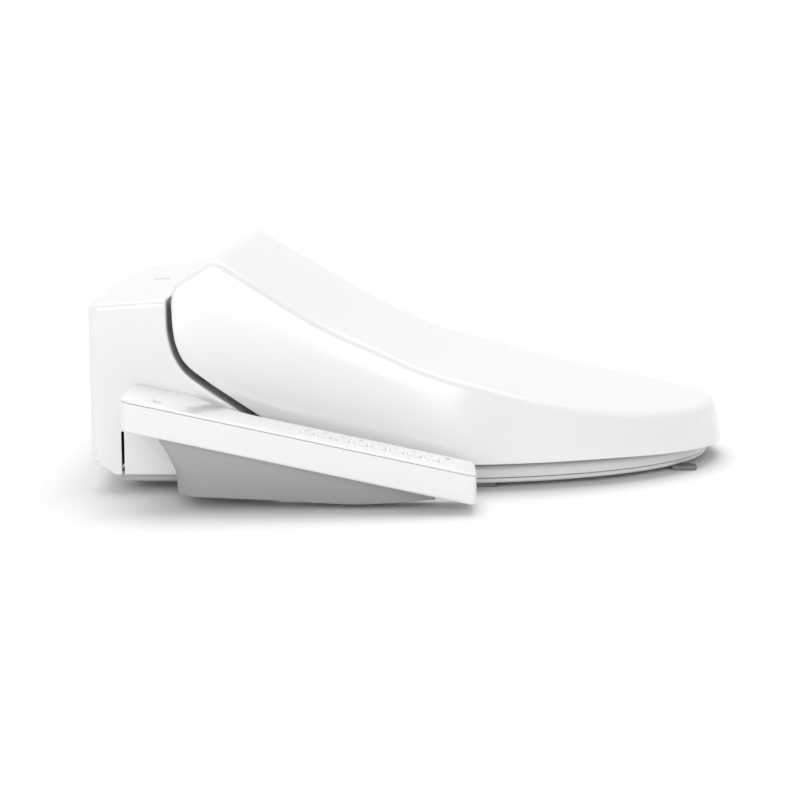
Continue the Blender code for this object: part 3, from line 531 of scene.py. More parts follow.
# the tray's own grey, painted darker: painted shade for the shade under the cover's lower edge
TRAY = moulded("tray_grey", (0.4, 0.405, 0.41), 0.46, 0.15, texture=0.25)
PLATE = moulded("plate_grey", (0.46, 0.47, 0.48), 0.44, 0.15, texture=0.25)
BRACKET = moulded("bracket_grey", (0.42, 0.43, 0.44), 0.38, 0.12)
DARK = moulded("dark_plastic", (0.045, 0.046, 0.05), 0.42, 0.15, texture=0.2)
LENS = moulded("lamp_lens", (0.16, 0.165, 0.17), 0.1, 0.02, coat=0.6)
PRINT = moulded("print_grey", (0.5, 0.505, 0.51), 0.4, 0.05)
NATURAL = moulded("natural_nylon", (0.74, 0.73, 0.69), 0.4, 0.1)
PAD = rubber("pad_grey", (0.15, 0.155, 0.16))
SOFT_BLACK = rubber("soft_black", (0.035, 0.035, 0.037))
STEEL = metal("brushed_steel", (0.62, 0.62, 0.63), 0.24, (0.05, 1.0, 1.0))
PLATED = metal("plated_brass", (0.66, 0.65, 0.62), 0.2, (1.0, 0.3, 0.3), 0.08)
ZINC = metal("zinc_plate", (0.55, 0.56, 0.58), 0.4, (0.6, 0.6, 0.6), 0.2)
TUBE_STEEL = metal("tube_steel", (0.68, 0.68, 0.69), 0.16, (1.0, 0.06, 0.06), 0.06)
BOARD = circuit_board("circuit_board")
FILM = heater_film("heater_film")


# ---- lid

SPINE = Profile([
    (-0.467, 0.051), (-0.447, 0.056), (-0.431, 0.0595), (-0.377, 0.0713), (-0.335, 0.08),
    (-0.285, 0.0925), (-0.223, 0.109), (-0.161, 0.1373), (-0.12, 0.161), (-0.09, 0.1782),
    (-0.04, 0.2067), (-0.01, 0.2237),
])
CREASE = Profile([
    (-0.467, 0.051), (-0.433, 0.052), (-0.399, 0.053), (-0.368, 0.0555), (-0.334, 0.0607),
    (-0.293, 0.0695), (-0.249, 0.0825), (-0.203, 0.0965), (-0.168, 0.112), (-0.129, 0.1292),
    (-0.093, 0.15), (-0.065, 0.168), (-0.04, 0.1845), (-0.01, 0.2045),
])
FACET = Profile([
    (-0.12, 0.2351), (-0.06, 0.1991), (-0.0124, 0.1705), (-0.0085, 0.1678), (-0.006, 0.1645),
    (-0.0046, 0.16), (LID_REAR_Y, 0.153),
])
LOWER_EDGE = Profile([
    (-0.47, 0.0147), (-0.42, 0.0185), (-0.34, 0.0215), (-0.185, 0.022), (-0.155, 0.025),
    (-0.125, 0.033), (-0.095, 0.048), (-0.0644, 0.068), (-0.0515, 0.0765), (-0.0303, 0.091),
    (-0.014, 0.105), (-0.0071, 0.12), (-0.005, 0.133), (LID_REAR_Y, 0.15),
])
EDGE_ROUND = Profile([
    (-0.472, 0.0085), (-0.35, 0.006), (-0.2, 0.0042), (-0.08, 0.0042), (-0.03, 0.0065),
    (-0.004, 0.0065),
])


def lid_half(y):
    """Half the width of the lid's top, which stands in from the lower edge by the lean."""
    if y >= LID_STRAIGHT_Y:
        return LID_HALF
    share = min(1.0, (LID_STRAIGHT_Y - y) / (LID_STRAIGHT_Y - (LID_NOSE_Y + LID_LEAN)))
    return LID_HALF * sqrt(max(0, 1.0 - share * share))


def lid_height(x, y):
    """The lid's top: a low arch across, turned down softly into the rear facet."""
    spine, crease = SPINE(y), CREASE(y)
    half = max(lid_half(y), 0.001)
    arch = spine - (spine - crease) * min(1.0, (x / half) ** 2)
    return soft_min(arch, FACET(y), LID_CREST_SOFTNESS)


def edge_slope(y):
    """How steeply the lid's lower edge climbs towards the rear."""
    probe = 0.0004
    return (LOWER_EDGE(y) - LOWER_EDGE(y - probe)) / probe


def lid_places():
    """Points along the lid's outline as (half width, y, outward direction)."""
    stride = 0.003
    places = []
    y = LID_REAR_Y
    while y > LID_STRAIGHT_Y + stride / 2:
        places.append((LID_HALF, y, Vector((1, 0))))
        y -= stride / hypot(1.0, edge_slope(y))
    reach = LID_STRAIGHT_Y - LID_NOSE_Y
    for angle in spaced(0, QUARTER, 60):
        w, y = LID_HALF * cos(angle), LID_STRAIGHT_Y - reach * sin(angle)
        out = Vector((cos(angle) / LID_HALF, -sin(angle) / reach)).normalized()
        places.append((w, y, out))
    return places


def lid_row(w, y, out):
    """From the lower edge up the side, over the rounded shoulder and across to the middle."""
    low = LOWER_EDGE(y)
    top = max(soft_min(CREASE(y), FACET(y), LID_CREST_SOFTNESS), low + 0.0022)
    turn = min(EDGE_ROUND(y), (top - low) * 0.6)
    wall_top = top - turn
    base = LOWER_EDGE(min(y, LID_LEAN_REAR))
    level = 1.0 / hypot(1.0, edge_slope(y))
    rim = Vector((w, y))

    def at(depth):
        return rim - out * depth

    def lean(z):
        share = min(1.0, max(0, (z - base) / (wall_top - base)))
        return LID_SIDE_LEAN * share**1.3

    row = [
        (*at(lean(z) + tuck * level), z)
        for tuck, z in ((0.0007, low), (0.0001, low + 0.0004), (0, low + 0.001))
    ]
    row += [(*at(lean(z)), z) for z in spaced(low + 0.001, wall_top, 6)[1:-1]]
    shoulder = at(LID_LEAN + turn)
    shoulder.x = max(shoulder.x, 0)
    least = low + 0.002
    shoulder_top = max(lid_height(shoulder.x, shoulder.y), least)
    row += bezier(
        (*at(LID_SIDE_LEAN), wall_top), (*at(LID_LEAN), top), (*shoulder, shoulder_top), 7
    )
    spine_y = max(y, LID_SPINE_FRONT)
    for share in spaced(0, 1.0, 26)[1:]:
        part = share**1.25
        x = shoulder.x * (1 - part)
        along = shoulder.y + (spine_y - shoulder.y) * part
        row.append((x, along, max(lid_height(x, along), least)))
    return row


def lid_shell():
    """The hollow lid, with a notch for each pair of bracket and seat barrel."""
    half = [lid_row(*place) for place in lid_places()]
    rows = [[(-x, y, z) for x, y, z in row] + row[-2::-1] for row in half]
    shell = object_of("lid_shell", add_rows, rows, closed=False)
    wall(shell, LID_WALL, (0, -0.2, 0))
    for vertex in shell.data.vertices:
        vertex.co.y = min(vertex.co.y, LID_REAR_Y)
    notches = bmesh.new()
    clearance = 0.0004
    inner = BRACKET_X - LUG_WIDTH / 2 - clearance
    outer = SEAT_LUG_X + LUG_WIDTH / 2 + clearance
    low, high = (HINGE.y + 0.002, HINGE.z - 0.01), (0.005, HINGE.z + 0.014)
    add_box_pair(notches, inner, outer, low, high, 0.0012)
    carve(shell, notches)
    stand_for(shell, "lid", GLOSS)


def knuckle(work, x):
    """A hinge barrel with a chamfered rim and its bore."""
    half = LUG_WIDTH / 2
    chamfer = 0.0005
    end = [
        (KNUCKLE_BORE, -half + chamfer), (KNUCKLE_BORE + chamfer, -half),
        (KNUCKLE_RADIUS - chamfer, -half), (KNUCKLE_RADIUS, -half + chamfer),
    ]
    profile = end + [(radius, -height) for radius, height in reversed(end)] + end[:1]
    add_lathe(work, profile, (x, HINGE.y, HINGE.z), "X")


def hinge_arms(name, outline, lug_x, half, edge, material):
    """Two flat arms with a hinge barrel each."""
    work = bmesh.new()
    for x in (-lug_x, lug_x):
        add_prism(work, outline, x - half, x + half, "X", edge, edge)
        knuckle(work, x)
    arms = object_from(name, work)
    arms.data.materials.append(material)
    return arms


def lid_arms():
    """The webs that carry the lid's hinge barrels."""
    web = [
        (HINGE.y - 0.0026, HINGE.z + 0.003, 0.0004), (HINGE.y + 0.0026, HINGE.z + 0.0026, 0.0004),
        (HINGE.y + 0.0046, HINGE.z + 0.009, 0.0008), (HINGE.y - 0.0146, HINGE.z + 0.0208, 0.0008),
        (HINGE.y - 0.0146, HINGE.z + 0.014, 0.0008),
    ]
    outline = rounded_outline(web, 4)
    arms = hinge_arms("lid_hinge_arms", outline, LID_LUG_X, 0.0044, 0.0004, GLOSS)
    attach(arms, "lid")


def lid_pads():
    for number in (1, 2):
        node = f"lid_bumper_{number}"
        low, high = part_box(node)
        middle = (low + high) / 2
        radius = (high.x - low.x) / 2
        height = (high.z - low.z) / 2
        profile = [
            (0, -height), (radius * 0.55, -height), (radius * 0.86, -height + 0.0005),
            (radius, -height + 0.0014), (radius, -height + 0.0042),
            (radius * 0.84, -height + 0.0048), (radius * 0.84, height - 0.003),
            (radius, height - 0.002), (radius, height), (0, height),
        ]
        pad = object_of(f"lid_rest_pad_{number}", add_lathe, profile, middle, "Z", 36)
        stand_for(pad, node, PAD)


# ---- seat

RING_RISE = Profile([
    (-0.21, 0), (-0.165, 0.0006), (-0.135, 0.006), (-0.11, 0.02), (-0.085, 0.048), (-0.06, 0.082),
    (-0.035, 0.118),
])
# how the seat's inner and outer rims turn over, as (distance in from the rim, height)
INNER_TURN = ((0, 0.0132), (0.0006, 0.0156), (0.0024, 0.018), (0.006, 0.0202), (0.012, 0.022))
OUTER_TURN = ((0, 0.014), (0.0005, 0.0162), (0.0021, 0.0186), (0.0056, 0.0206), (0.012, 0.0224))


def ring_point(angle, centre, half, reach, squareness):
    c, s = cos(angle), sin(angle)
    power = 2.0 / squareness
    x = half * copysign(abs(s) ** power, s)
    return x, centre + reach * copysign(abs(c) ** power, c)


def inner_edge(angle, grow):
    return ring_point(angle, RING_CENTRE_Y, RING_INNER[0] + grow, RING_INNER[1] + grow, 2.1)


def outer_edge(angle, shrink):
    front = cos(angle) < 0
    reach = RING_OUTER_FRONT if front else RING_OUTER_REAR
    squareness = 2.0 if front else 5.0
    return ring_point(angle, LID_STRAIGHT_Y, RING_OUTER_HALF - shrink, reach - shrink, squareness)


def ring_row(edge, height, amount):
    """A row around the seat at a height, raised towards the hinge."""
    places = (edge(angle, amount) for angle in circle(RING_STEPS))
    return [(x, y, height + RING_RISE(y)) for x, y in places]


def between(first, second, share, height):
    """A row part of the way from one row to another."""
    row = []
    for (ax, ay, _), (bx, by, _) in zip(first, second):
        x, y = ax + (bx - ax) * share, ay + (by - ay) * share
        row.append((x, y, height + RING_RISE(y)))
    return row


def seat_rows(shrink, drop):
    """The seat's skin from its inner seam over the top to its outer seam."""
    rows = [ring_row(inner_edge, RING_SEAM, shrink)]
    rows += [ring_row(inner_edge, height - drop, depth + shrink) for depth, height in INNER_TURN]
    first = rows[-1]
    last = ring_row(outer_edge, OUTER_TURN[-1][1] - drop, OUTER_TURN[-1][0] + shrink)
    start, end = INNER_TURN[-1][1], OUTER_TURN[-1][1]
    for share in spaced(0, 1.0, 10)[1:-1]:
        crown = start + (end - start) * share + 0.0018 * sin(pi * share)
        rows.append(between(first, last, share, min(crown, RING_TOP) - drop))
    for depth, height in reversed(OUTER_TURN):
        rows.append(ring_row(outer_edge, height - drop, depth + shrink))
    rows.append(ring_row(outer_edge, RING_SEAM, shrink))
    return rows


def seat_ring():
    outside = seat_rows(0, 0)
    inside = seat_rows(0.0025, 0.0035)
    ring = object_of("seat_ring", add_rows, outside + inside[::-1] + outside[:1])
    stand_for(ring, "seat_top", SEAT_SHADED_WHITE)


def seat_arms():
    """The two arms that rise from the seat's rear to its hinge barrels."""
    arm = [
        (HINGE.y + 0.0004, HINGE.z - 0.004, 0.0006), (HINGE.y + 0.0004, HINGE.z + 0.003, 0.0006),
        (HINGE.y - 0.004, HINGE.z + 0.002, 0.0015), (-0.052, 0.13, 0.006), (-0.0735, 0.098, 0.002),
        (-0.0735, 0.0835, 0.002), (-0.06, 0.095, 0.004), (-0.048, 0.112, 0.006),
    ]
    outline = rounded_outline(arm[::-1], 5)
    arms = hinge_arms("seat_hinge_arms", outline, SEAT_LUG_X, 0.0046, 0.0006, SEAT_SHADED_WHITE)
    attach(arms, "seat")


def seat_base():
    """The seat's lower moulding, with rounded rims and a shallow channel underneath."""
    top = RING_SEAM - 0.0007
    low = RING_BOTTOM
    inner = (
        (0.0042, top), (0.0024, top - 0.0004), (0.002, top - 0.0012), (0.002, low + 0.001),
        (0.003, low),
    )
    outer = (
        (0.0026, low), (0.0015, low + 0.0012), (0.0015, top - 0.001), (0.002, top - 0.0003),
        (0.0036, top),
    )
    rows = [ring_row(inner_edge, height, depth) for depth, height in inner]
    first = rows[-1]
    last = ring_row(outer_edge, low, outer[0][0])
    for share, lift in ((0.14, 0), (0.18, 0.0012), (0.5, 0.0012), (0.82, 0.0012), (0.86, 0)):
        rows.append(between(first, last, share, low + lift))
    rows += [ring_row(outer_edge, height, depth) for depth, height in outer]
    top_outer = rows[-1]
    rows += [between(rows[0], top_outer, share, top) for share in (0.75, 0.5, 0.25)]
    rows.append(rows[0])
    stand_for(object_of("seat_base_ring", add_rows, rows), "seat_bottom", SEAT_SHADED_WHITE)


def seat_pads():
    for number in range(1, 5):
        node = f"seat_bumper_{number}"
        low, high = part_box(node)
        outline = rounded_rectangle(low, high, 0.0045)
        shape = (outline, low.z, high.z, "Z", 0.0003, 0.001)
        stand_for(object_of(f"seat_pad_{number}", add_prism, *shape), node, PAD)


# ---- rear unit

UNIT_FRONT = Profile([
    (0.0153, -0.091), (0.03, -0.089), (0.044, -0.081), (0.058, -0.068), (0.07, -0.052),
    (0.084, -0.031), (0.099, -0.0126), (0.115, -0.0042), (0.134, -0.0006), (0.1553, -0.0003),
])
UNIT_REAR_LIMIT = Profile([(0.0153, 0.042), (0.024, 0.054), (0.032, 0.074), (0.2, 0.075)])


def unit_loop(level, shrink=0.0, front_shrink=0.0):
    """The rear unit's section at a height: straight sides, round rear corners, bowed rear."""
    half = UNIT_HALF - shrink
    front = UNIT_FRONT(level) + front_shrink
    corner = UNIT_CORNER - shrink
    nip = 0.0016
    points = [(half - side, front + face) for side, face in quarter_round(nip)[:-1]]
    centre_y = UNIT_REAR - UNIT_CORNER
    points += [(half, y) for y in spaced(front + nip, centre_y, 14)[:-1]]
    turn = radians(72)
    corner_points = [
        (half - corner * (1 - cos(a)), centre_y + corner * sin(a))
        for a in spaced(0, turn, 12)
    ]
    points += corner_points[:-1]
    edge, edge_y = corner_points[-1]
    bow = UNIT_REAR + UNIT_REAR_BULGE - shrink - edge_y
    points += [(edge * s, edge_y + bow * (1 - s * s)) for s in spaced(1.0, 0, 12)]
    limit = UNIT_REAR_LIMIT(level) - shrink
    right = [(x, min(y, limit)) for x, y in points]
    left = [(-x, y) for x, y in reversed(right[:-1])]
    span = half - nip
    loop = right + left + [(x, front) for x in spaced(-span, span, 24)[1:-1]]
    rise = smoothstep((level - 0.09) / 0.06)
    return [(x, y, level + UNIT_TOP_SLOPE * max(y, 0) * rise) for x, y in loop]


def unit_cover():
    """The hollow cover: sections up to its rounded top, closed by one flat face."""
    levels = [UNIT_BOTTOM, 0.017, 0.0195, 0.022, 0.024, 0.0262, 0.0285, 0.031, 0.034]
    z = 0.037
    while z < UNIT_TOP - UNIT_EDGE - 0.001:
        levels.append(z)
        z += 0.004
    rows = [unit_loop(level) for level in levels]
    for side, face in quarter_round(UNIT_EDGE, 8):
        rows.append(unit_loop(UNIT_TOP - side, face, 0.0022 * (face / UNIT_EDGE) ** 2))
    rows.append(unit_loop(UNIT_TOP, UNIT_EDGE + 0.0008, 0.003))
    rows.append(unit_loop(UNIT_TOP, UNIT_EDGE + 0.004, 0.006))
    work = bmesh.new()
    add_rows(work, rows)
    work.faces.new(list(work.verts)[-len(rows[-1]):])
    cover = object_from("unit_cover", work)
    wall(cover, UNIT_WALL, (0, 0, 0.08))
    carve(cover, cover_openings())
    stand_for(cover, "rear_cover", GLOSS)


def cover_openings():
    """What is cut out of the cover, as one bmesh."""
    work = bmesh.new()
    add_box(work, (-0.136, -0.101, -0.01), (0.04, -0.061, 0.042), 0.003)
    low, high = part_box("deodorizer_filter")
    clear = 0.0004
    add_box(
        work, (0.16, low.y - clear, low.z - clear), (0.205, high.y + clear, high.z + clear), 0.001
    )
    add_cylinder(work, 0.0091, -0.015, 0.015, (UNIT_HALF, *INLET), "X", 40)
    add_cylinder(work, 0.0083, -0.015, 0.015, (UNIT_HALF, *BUTTON), "X", 40)
    add_cylinder(work, 0.0068, -0.012, 0.012, (GLAND[0], 0.068, GLAND[1]), "Y", 40)
    add_box(work, *SIDE_SLOT, 0.0006, 2)
    low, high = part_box("status_lamp")
    gap = 0.0003
    lamp = rounded_rectangle((low.x - gap, low.y - gap), (high.x + gap, high.y + gap), 0.003)
    add_prism(work, lamp, 0.14, 0.17)
    inner = BRACKET_X - LUG_WIDTH / 2 - 0.0005
    outer = BRACKET_X + LUG_WIDTH / 2 + 0.0005
    add_box_pair(work, inner, outer, (-0.02, 0.1435), (0.004, 0.1495), 0.0004)
    return work


def status_lens():
    low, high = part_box("status_lamp")
    shape = (rounded_rectangle(low, high, 0.0028), low.z, 0.1531, "Z", 0.0004)
    stand_for(object_of("status_lens", add_prism, *shape), "status_lamp", LENS)


def unit_tray():
    """The tray under the unit: rounded rims, an inner well and shallow panels underneath."""
    low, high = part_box("base_tray")
    floor = low.z
    rim = 0.0175
    tray = object_of("unit_tray", add_levels, rounded_rectangle(low, high, 0.006), (
        (0.004, floor), (0.0016, floor), (0.0004, floor + 0.0005), (0, floor + 0.0016),
        (0, rim - 0.0004), (0.0004, rim), (0.0021, rim), (0.0025, rim - 0.0004),
        (0.0025, floor + 0.003), (0.006, floor + 0.0025),
    ))
    panels = bmesh.new()
    for front, rear, columns in ((-0.078, -0.045, 6), (-0.038, 0.03, 5)):
        for column in range(columns):
            left = -0.165 + column * 0.0556
            low, high = (left, front, floor - 0.004), (left + 0.051, rear, floor + 0.001)
            add_box(panels, low, high, 0.0008, 2)
    carve(tray, panels)
    stand_for(tray, "base_tray", TRAY)


def tray_screws():
    for number in range(1, 5):
        node = f"base_screw_{number}"
        low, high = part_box(node)
        x, y, _ = (low + high) / 2
        profile = [
            (0, high.z), (0.0008, high.z), (0.0016, high.z - 0.002), (0.0016, 0.009),
            (0.0016, 0.0088), (0.0038, 0.0086), (0.0038, 0.0078), (0.0035, 0.007), (0.0028, 0.0064),
            (0.0016, 0.0061), (0, 0.006),
        ]
        screw = object_of(f"tray_screw_{number}", add_lathe, profile, (x, y, 0), "Z", 36)
        for a, b in ((0.0024, 0.00045), (0.00045, 0.0024)):
            cross = bmesh.new()
            add_box(cross, (x - a, y - b, 0.005), (x + a, y + b, 0.0074))
            carve(screw, cross)
        stand_for(screw, node, ZINC)


def bowl_plate():
    """The plate bolted to the bowl: rounded corners, long bolt slots, guide rails and ribs."""
    low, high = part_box("mounting_plate")
    shape = (rounded_rectangle(low, high, 0.009), 0, 0.005, "Z", 0.0008, 0.0008)
    plate = object_of("bowl_plate", add_prism, *shape)
    slots = bmesh.new()
    for x in (-0.0775, 0.0775):
        slot = rounded_rectangle((x - 0.016, -0.0042), (x + 0.016, 0.0042), 0.004)
        add_prism(slots, slot, -0.004, 0.012)
    for column in range(5):
        left = -0.05 + column * 0.0206
        add_box(slots, (left, -0.026, -0.004), (left + 0.0176, 0.026, 0.0009), 0.0006, 2)
    carve(plate, slots)
    stand_for(plate, "mounting_plate", PLATE)
    work = bmesh.new()
    for x in (-0.13, 0.13):
        add_box(work, (x - 0.006, -0.034, 0.004), (x + 0.006, 0.034, 0.0085), 0.0008)
    for x in (-0.05, 0.05):
        add_box(work, (x - 0.0012, -0.028, 0.0045), (x + 0.0012, 0.028, 0.0062), 0.0005, 2)
    rails = object_from("plate_rails", work)
    rails.data.materials.append(PLATE)
    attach(rails, BODY_OF["mounting_plate"])


def hinge_hardware():
    half = LUG_WIDTH / 2
    front, rear = HINGE.y - 0.0034, HINGE.y + 0.0024
    neck = rounded_outline([
        (front, 0.1445, 0.0005), (rear, 0.1445, 0.0005), (rear, HINGE.z - 0.003, 0.0005),
        (front, HINGE.z - 0.0026, 0.0005),
    ], 4)
    for label, side in (("left", 1), ("right", -1)):
        x = side * BRACKET_X
        work = bmesh.new()
        add_box(work, (x - half, -0.017, 0.144), (x + half, 0.024, 0.1488), 0.0006, 2)
        add_prism(work, neck, x - half + 0.0004, x + half - 0.0004, "X", 0.0004, 0.0004)
        knuckle(work, x)
        stand_for(object_from(f"{label}_bracket", work), f"{label}_hinge_bracket", BRACKET)
        low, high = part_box(f"{label}_hinge_pin")
        length = (high.x - low.x) / 2
        profile = [
            (0, -length), (PIN_POINT, -length), (PIN_RADIUS, -length + PIN_CHAMFER),
            (PIN_RADIUS, length - PIN_CHAMFER), (PIN_POINT, length), (0, length),
        ]
        centre = ((low.x + high.x) / 2, HINGE.y, HINGE.z)
        pin = object_of(f"{label}_pin", add_lathe, profile, centre, "X", 32)
        stand_for(pin, f"{label}_hinge_pin", STEEL)


def side_filter():
    low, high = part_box("deodorizer_filter")
    cartridge = object_of("filter_cartridge", add_box, low, high, 0.0014, 4)
    grip = bmesh.new()
    add_box(grip, (high.x - 0.003, 0.015, 0.1185), (high.x + 0.01, 0.031, 0.1235), 0.0012, 3)
    for k in range(3):
        z = 0.1266 + k * 0.0024
        add_box(grip, (high.x - 0.0006, 0.012, z), (high.x + 0.01, 0.034, z + 0.001), 0.0003, 2)
    carve(cartridge, grip)
    stand_for(cartridge, "deodorizer_filter", SATIN)


def push_button():
    low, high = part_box("release_button")
    face = high.x
    profile = [
        (0, low.x), (0.003, low.x), (0.003, 0.181), (0.0074, 0.181), (0.008, 0.1816),
        (0.008, face - 0.0012), (0.0076, face - 0.0004), (0.0068, face), (0.0062, face - 0.0001),
        (0.0058, face - 0.0005), (0.0052, face - 0.0006), (0.0025, face - 0.0009),
        (0, face - 0.001),
    ]
    key = object_of("release_key", add_lathe, profile, (0, *BUTTON), "X", 56)
    stand_for(key, "release_button", SATIN)


def inlet_spigot():
    """The threaded connection for the water hose."""
    low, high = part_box("water_inlet")
    start, end = 0.1935, high.x - 0.001
    pitch, depth = 0.0018, 0.0008

    def ring(x, radius, thread=False):
        row = []
        for angle in circle(48):
            r = radius
            if thread:
                phase = ((x - start) / pitch - angle / tau) % 1.0
                fade = min(1.0, (x - start) / pitch, (end - x) / pitch)
                r -= depth * abs(2 * phase - 1) * max(0, fade)
            row.append((x, INLET[0] + r * cos(angle), INLET[1] + r * sin(angle)))
        return row

    collar = (
        (low.x, 0.0085), (0.178, 0.0085), (0.178, 0.0108), (0.1784, 0.011), (0.1836, 0.011),
        (0.184, 0.0108), (0.184, 0.0085), (0.1925, 0.0085),
    )
    mouth = (
        (high.x, 0.0076), (high.x, 0.0056), (high.x - 0.0006, 0.005), (low.x + 0.006, 0.005),
        (low.x, 0.005), (low.x, 0.0085),
    )
    rows = [ring(*place) for place in collar]
    rows += [ring(x, 0.0085, thread=True) for x in spaced(start, end, 96)]
    rows += [ring(*place) for place in mouth]
    stand_for(object_of("inlet_spigot", add_rows, rows), "water_inlet", PLATED)


def gland_sleeve():
    """The ribbed grommet where a mains lead would enter."""
    low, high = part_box("cord_gland")
    profile = [
        (0.0036, low.y), (0.0064, low.y), (0.0064, 0.0585), (0.0092, 0.0585), (0.0095, 0.0589),
        (0.0095, 0.0611), (0.0092, 0.0615), (0.0064, 0.0615),
    ]
    y = 0.07
    while y < high.y - 0.0024:
        profile += [
            (0.0063, y), (0.0064, y + 0.0002), (0.0063, y + 0.0012), (0.0054, y + 0.0014),
            (0.0054, y + 0.0021),
        ]
        y += 0.0023
    profile += [
        (0.0058, high.y - 0.0004), (0.0055, high.y), (0.004, high.y), (0.0036, high.y - 0.0004),
        (0.0036, low.y),
    ]
    centre = (GLAND[0], 0, GLAND[1])
    sleeve = object_of("gland_sleeve", add_lathe, profile, centre, "Y", 44)
    stand_for(sleeve, "cord_gland", SOFT_BLACK)


def flap_door():
    """The dryer's flap with four shallow ribs."""
    low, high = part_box("dryer_flap")
    work = bmesh.new()
    add_box(work, low, high, 0.0004, 2)
    for k in range(4):
        x = low.x + 0.005 + k * 0.0058
        rib = ((x, low.y - 0.0004, low.z + 0.002), (x + 0.0012, low.y + 0.0004, high.z - 0.002))
        add_box(work, *rib, 0.0002, 2)
    stand_for(object_from("flap_door", work), "dryer_flap", SATIN)


def drain_cap():
    low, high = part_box("drain_plug")
    x, y, _ = (low + high) / 2
    profile = [
        (0, high.z), (0.005, high.z), (0.006, high.z - 0.0008), (0.006, low.z + 0.001),
        (0.0056, low.z + 0.0003), (0.0048, low.z), (0, low.z),
    ]
    cap = object_of("drain_cap", add_lathe, profile, (x, y, 0), "Z", 40)
    slot = bmesh.new()
    add_box(slot, (x - 0.0045, y - 0.0007, low.z - 0.002), (x + 0.0045, y + 0.0007, low.z + 0.0014))
    carve(cap, slot)
    stand_for(cap, "drain_plug", HOUSING)


# ---- nozzles

NOZZLE_X = 0.012
NOZZLE_SLOPE = radians(25)
NOZZLE = Matrix.Translation((0, -0.09, 0.025)) @ Matrix.Rotation(NOZZLE_SLOPE, 4, "X")


def spray_tips():
    """The nozzles' end caps, each with one hole in a ring of five."""
    profile = [
        (0, -0.0034), (0.003, -0.0034), (0.0043, -0.003), (0.005, -0.002), (0.0052, 0),
        (0.0052, 0.003), (0.0055, 0.0034), (0.0055, 0.0054), (0, 0.0054),
    ]
    holes = [(0, 0), *disc(0, 0, 0.0015, 5)]
    for label, x in (("rear", -NOZZLE_X), ("front", NOZZLE_X)):
        shape = (profile, (x, 0, 0), "Y", 44, NOZZLE)
        tip = object_of(f"{label}_spray_tip", add_lathe, *shape)
        drills = bmesh.new()
        for dx, dy in holes:
            add_cylinder(drills, 0.00035, 0, 0.006, (x + dx, dy, 0.003), "Z", 10, NOZZLE)
        carve(tip, drills)
        stand_for(tip, f"{label}_nozzle_tip", SATIN)


# ---- control arm


def arm_outline():
    return rounded_outline([
        (-ARM_HALF, 0, 0.0075), (ARM_HALF, 0, 0.0075), (ARM_HALF, 0.19, 0.02),
        (ARM_HALF + 0.018, 0.216, 0.01), (ARM_ROOT_X, 0.224, 0.0034),
        (ARM_ROOT_X, ARM_LENGTH, 0.0032), (-ARM_HALF, ARM_LENGTH, 0.009),
    ], 10)


def arm_body():
    """The arm's tray: rounded below, with a fine shadow step under the panel."""
    low = -ARM_DEPTH
    seam = -PANEL_THICK - 0.00035
    levels = [(side, low + face) for side, face in quarter_round(0.003, 7)]
    levels += [
        (0, low * 0.5), (0, seam - 0.0008), (0, seam - 0.0002), (0.0002, seam), (0.0022, seam),
        (0.0024, seam - 0.001), (0.0024, seam - 0.006),
    ]
    stand_for(object_of("arm_body", add_levels, arm_outline(), levels, ARM), "arm_frame", GLOSS)


def key_place(number):
    return KEY_X, KEY_FIRST + KEY_PITCH * number


def key_outline(x, y, grow=0.0):
    a, b = KEY_HALF[0] + grow, KEY_HALF[1] + grow
    return rounded_rectangle((x - a, y - b), (x + a, y + b), 0.0024, 6)


def arm_top():
    """The arm's top panel with openings for the keys and the lamp, and the lamp's lens."""
    shape = (arm_outline(), -PANEL_THICK, 0, "Z", 0.0012, 0.0002, ARM)
    panel = object_of("arm_top_panel", add_prism, *shape)
    holes = bmesh.new()
    for number in range(KEY_COUNT):
        add_prism(holes, key_outline(*key_place(number), 0.00018), -0.006, 0.006, place=ARM)
    add_cylinder(holes, 0.0019, -0.006, 0.006, ARM_LAMP, "Z", 32, ARM)
    carve(panel, holes)
    stand_for(panel, "arm_panel", GLOSS)
    profile = [(0, -0.003), (0.0017, -0.003), (0.0017, -0.0001), (0.0013, 0.0001), (0, 0.0002)]
    stand_for(object_of("arm_lens", add_lathe, profile, ARM_LAMP, "Z", 32, ARM), "arm_lamp", DARK)


# how far symbols stand proud, how deep they reach and how wide a stroke is
RAISED = 0.00018
SUNK = 0.0003
STROKE = 0.00055


def mark(work, outline, height):
    """One raised shape of a symbol, from just under the surface at height to just over it."""
    add_levels(work, outline, ((0, height - SUNK), (0, height + RAISED)), ARM)


def bar(x, y, length, angle=0.0, width=STROKE):
    """A round-ended stroke centred on a point."""
    c, s = cos(angle), sin(angle)
    points = []
    for end in (1, -1):
        for k in range(7):
            a = pi * k / 6 - end * QUARTER
            u = end * length / 2 + width / 2 * cos(a)
            v = width / 2 * sin(a)
            points.append((x + u * c - v * s, y + u * s + v * c))
    return points


def arc(x, y, radius, start, end, width=STROKE):
    """A bent stroke."""
    outer, inner = (
        [(x + r * cos(a), y + r * sin(a)) for a in spaced(start, end, 14)]
        for r in (radius + width / 2, radius - width / 2)
    )
    return outer + inner[::-1]


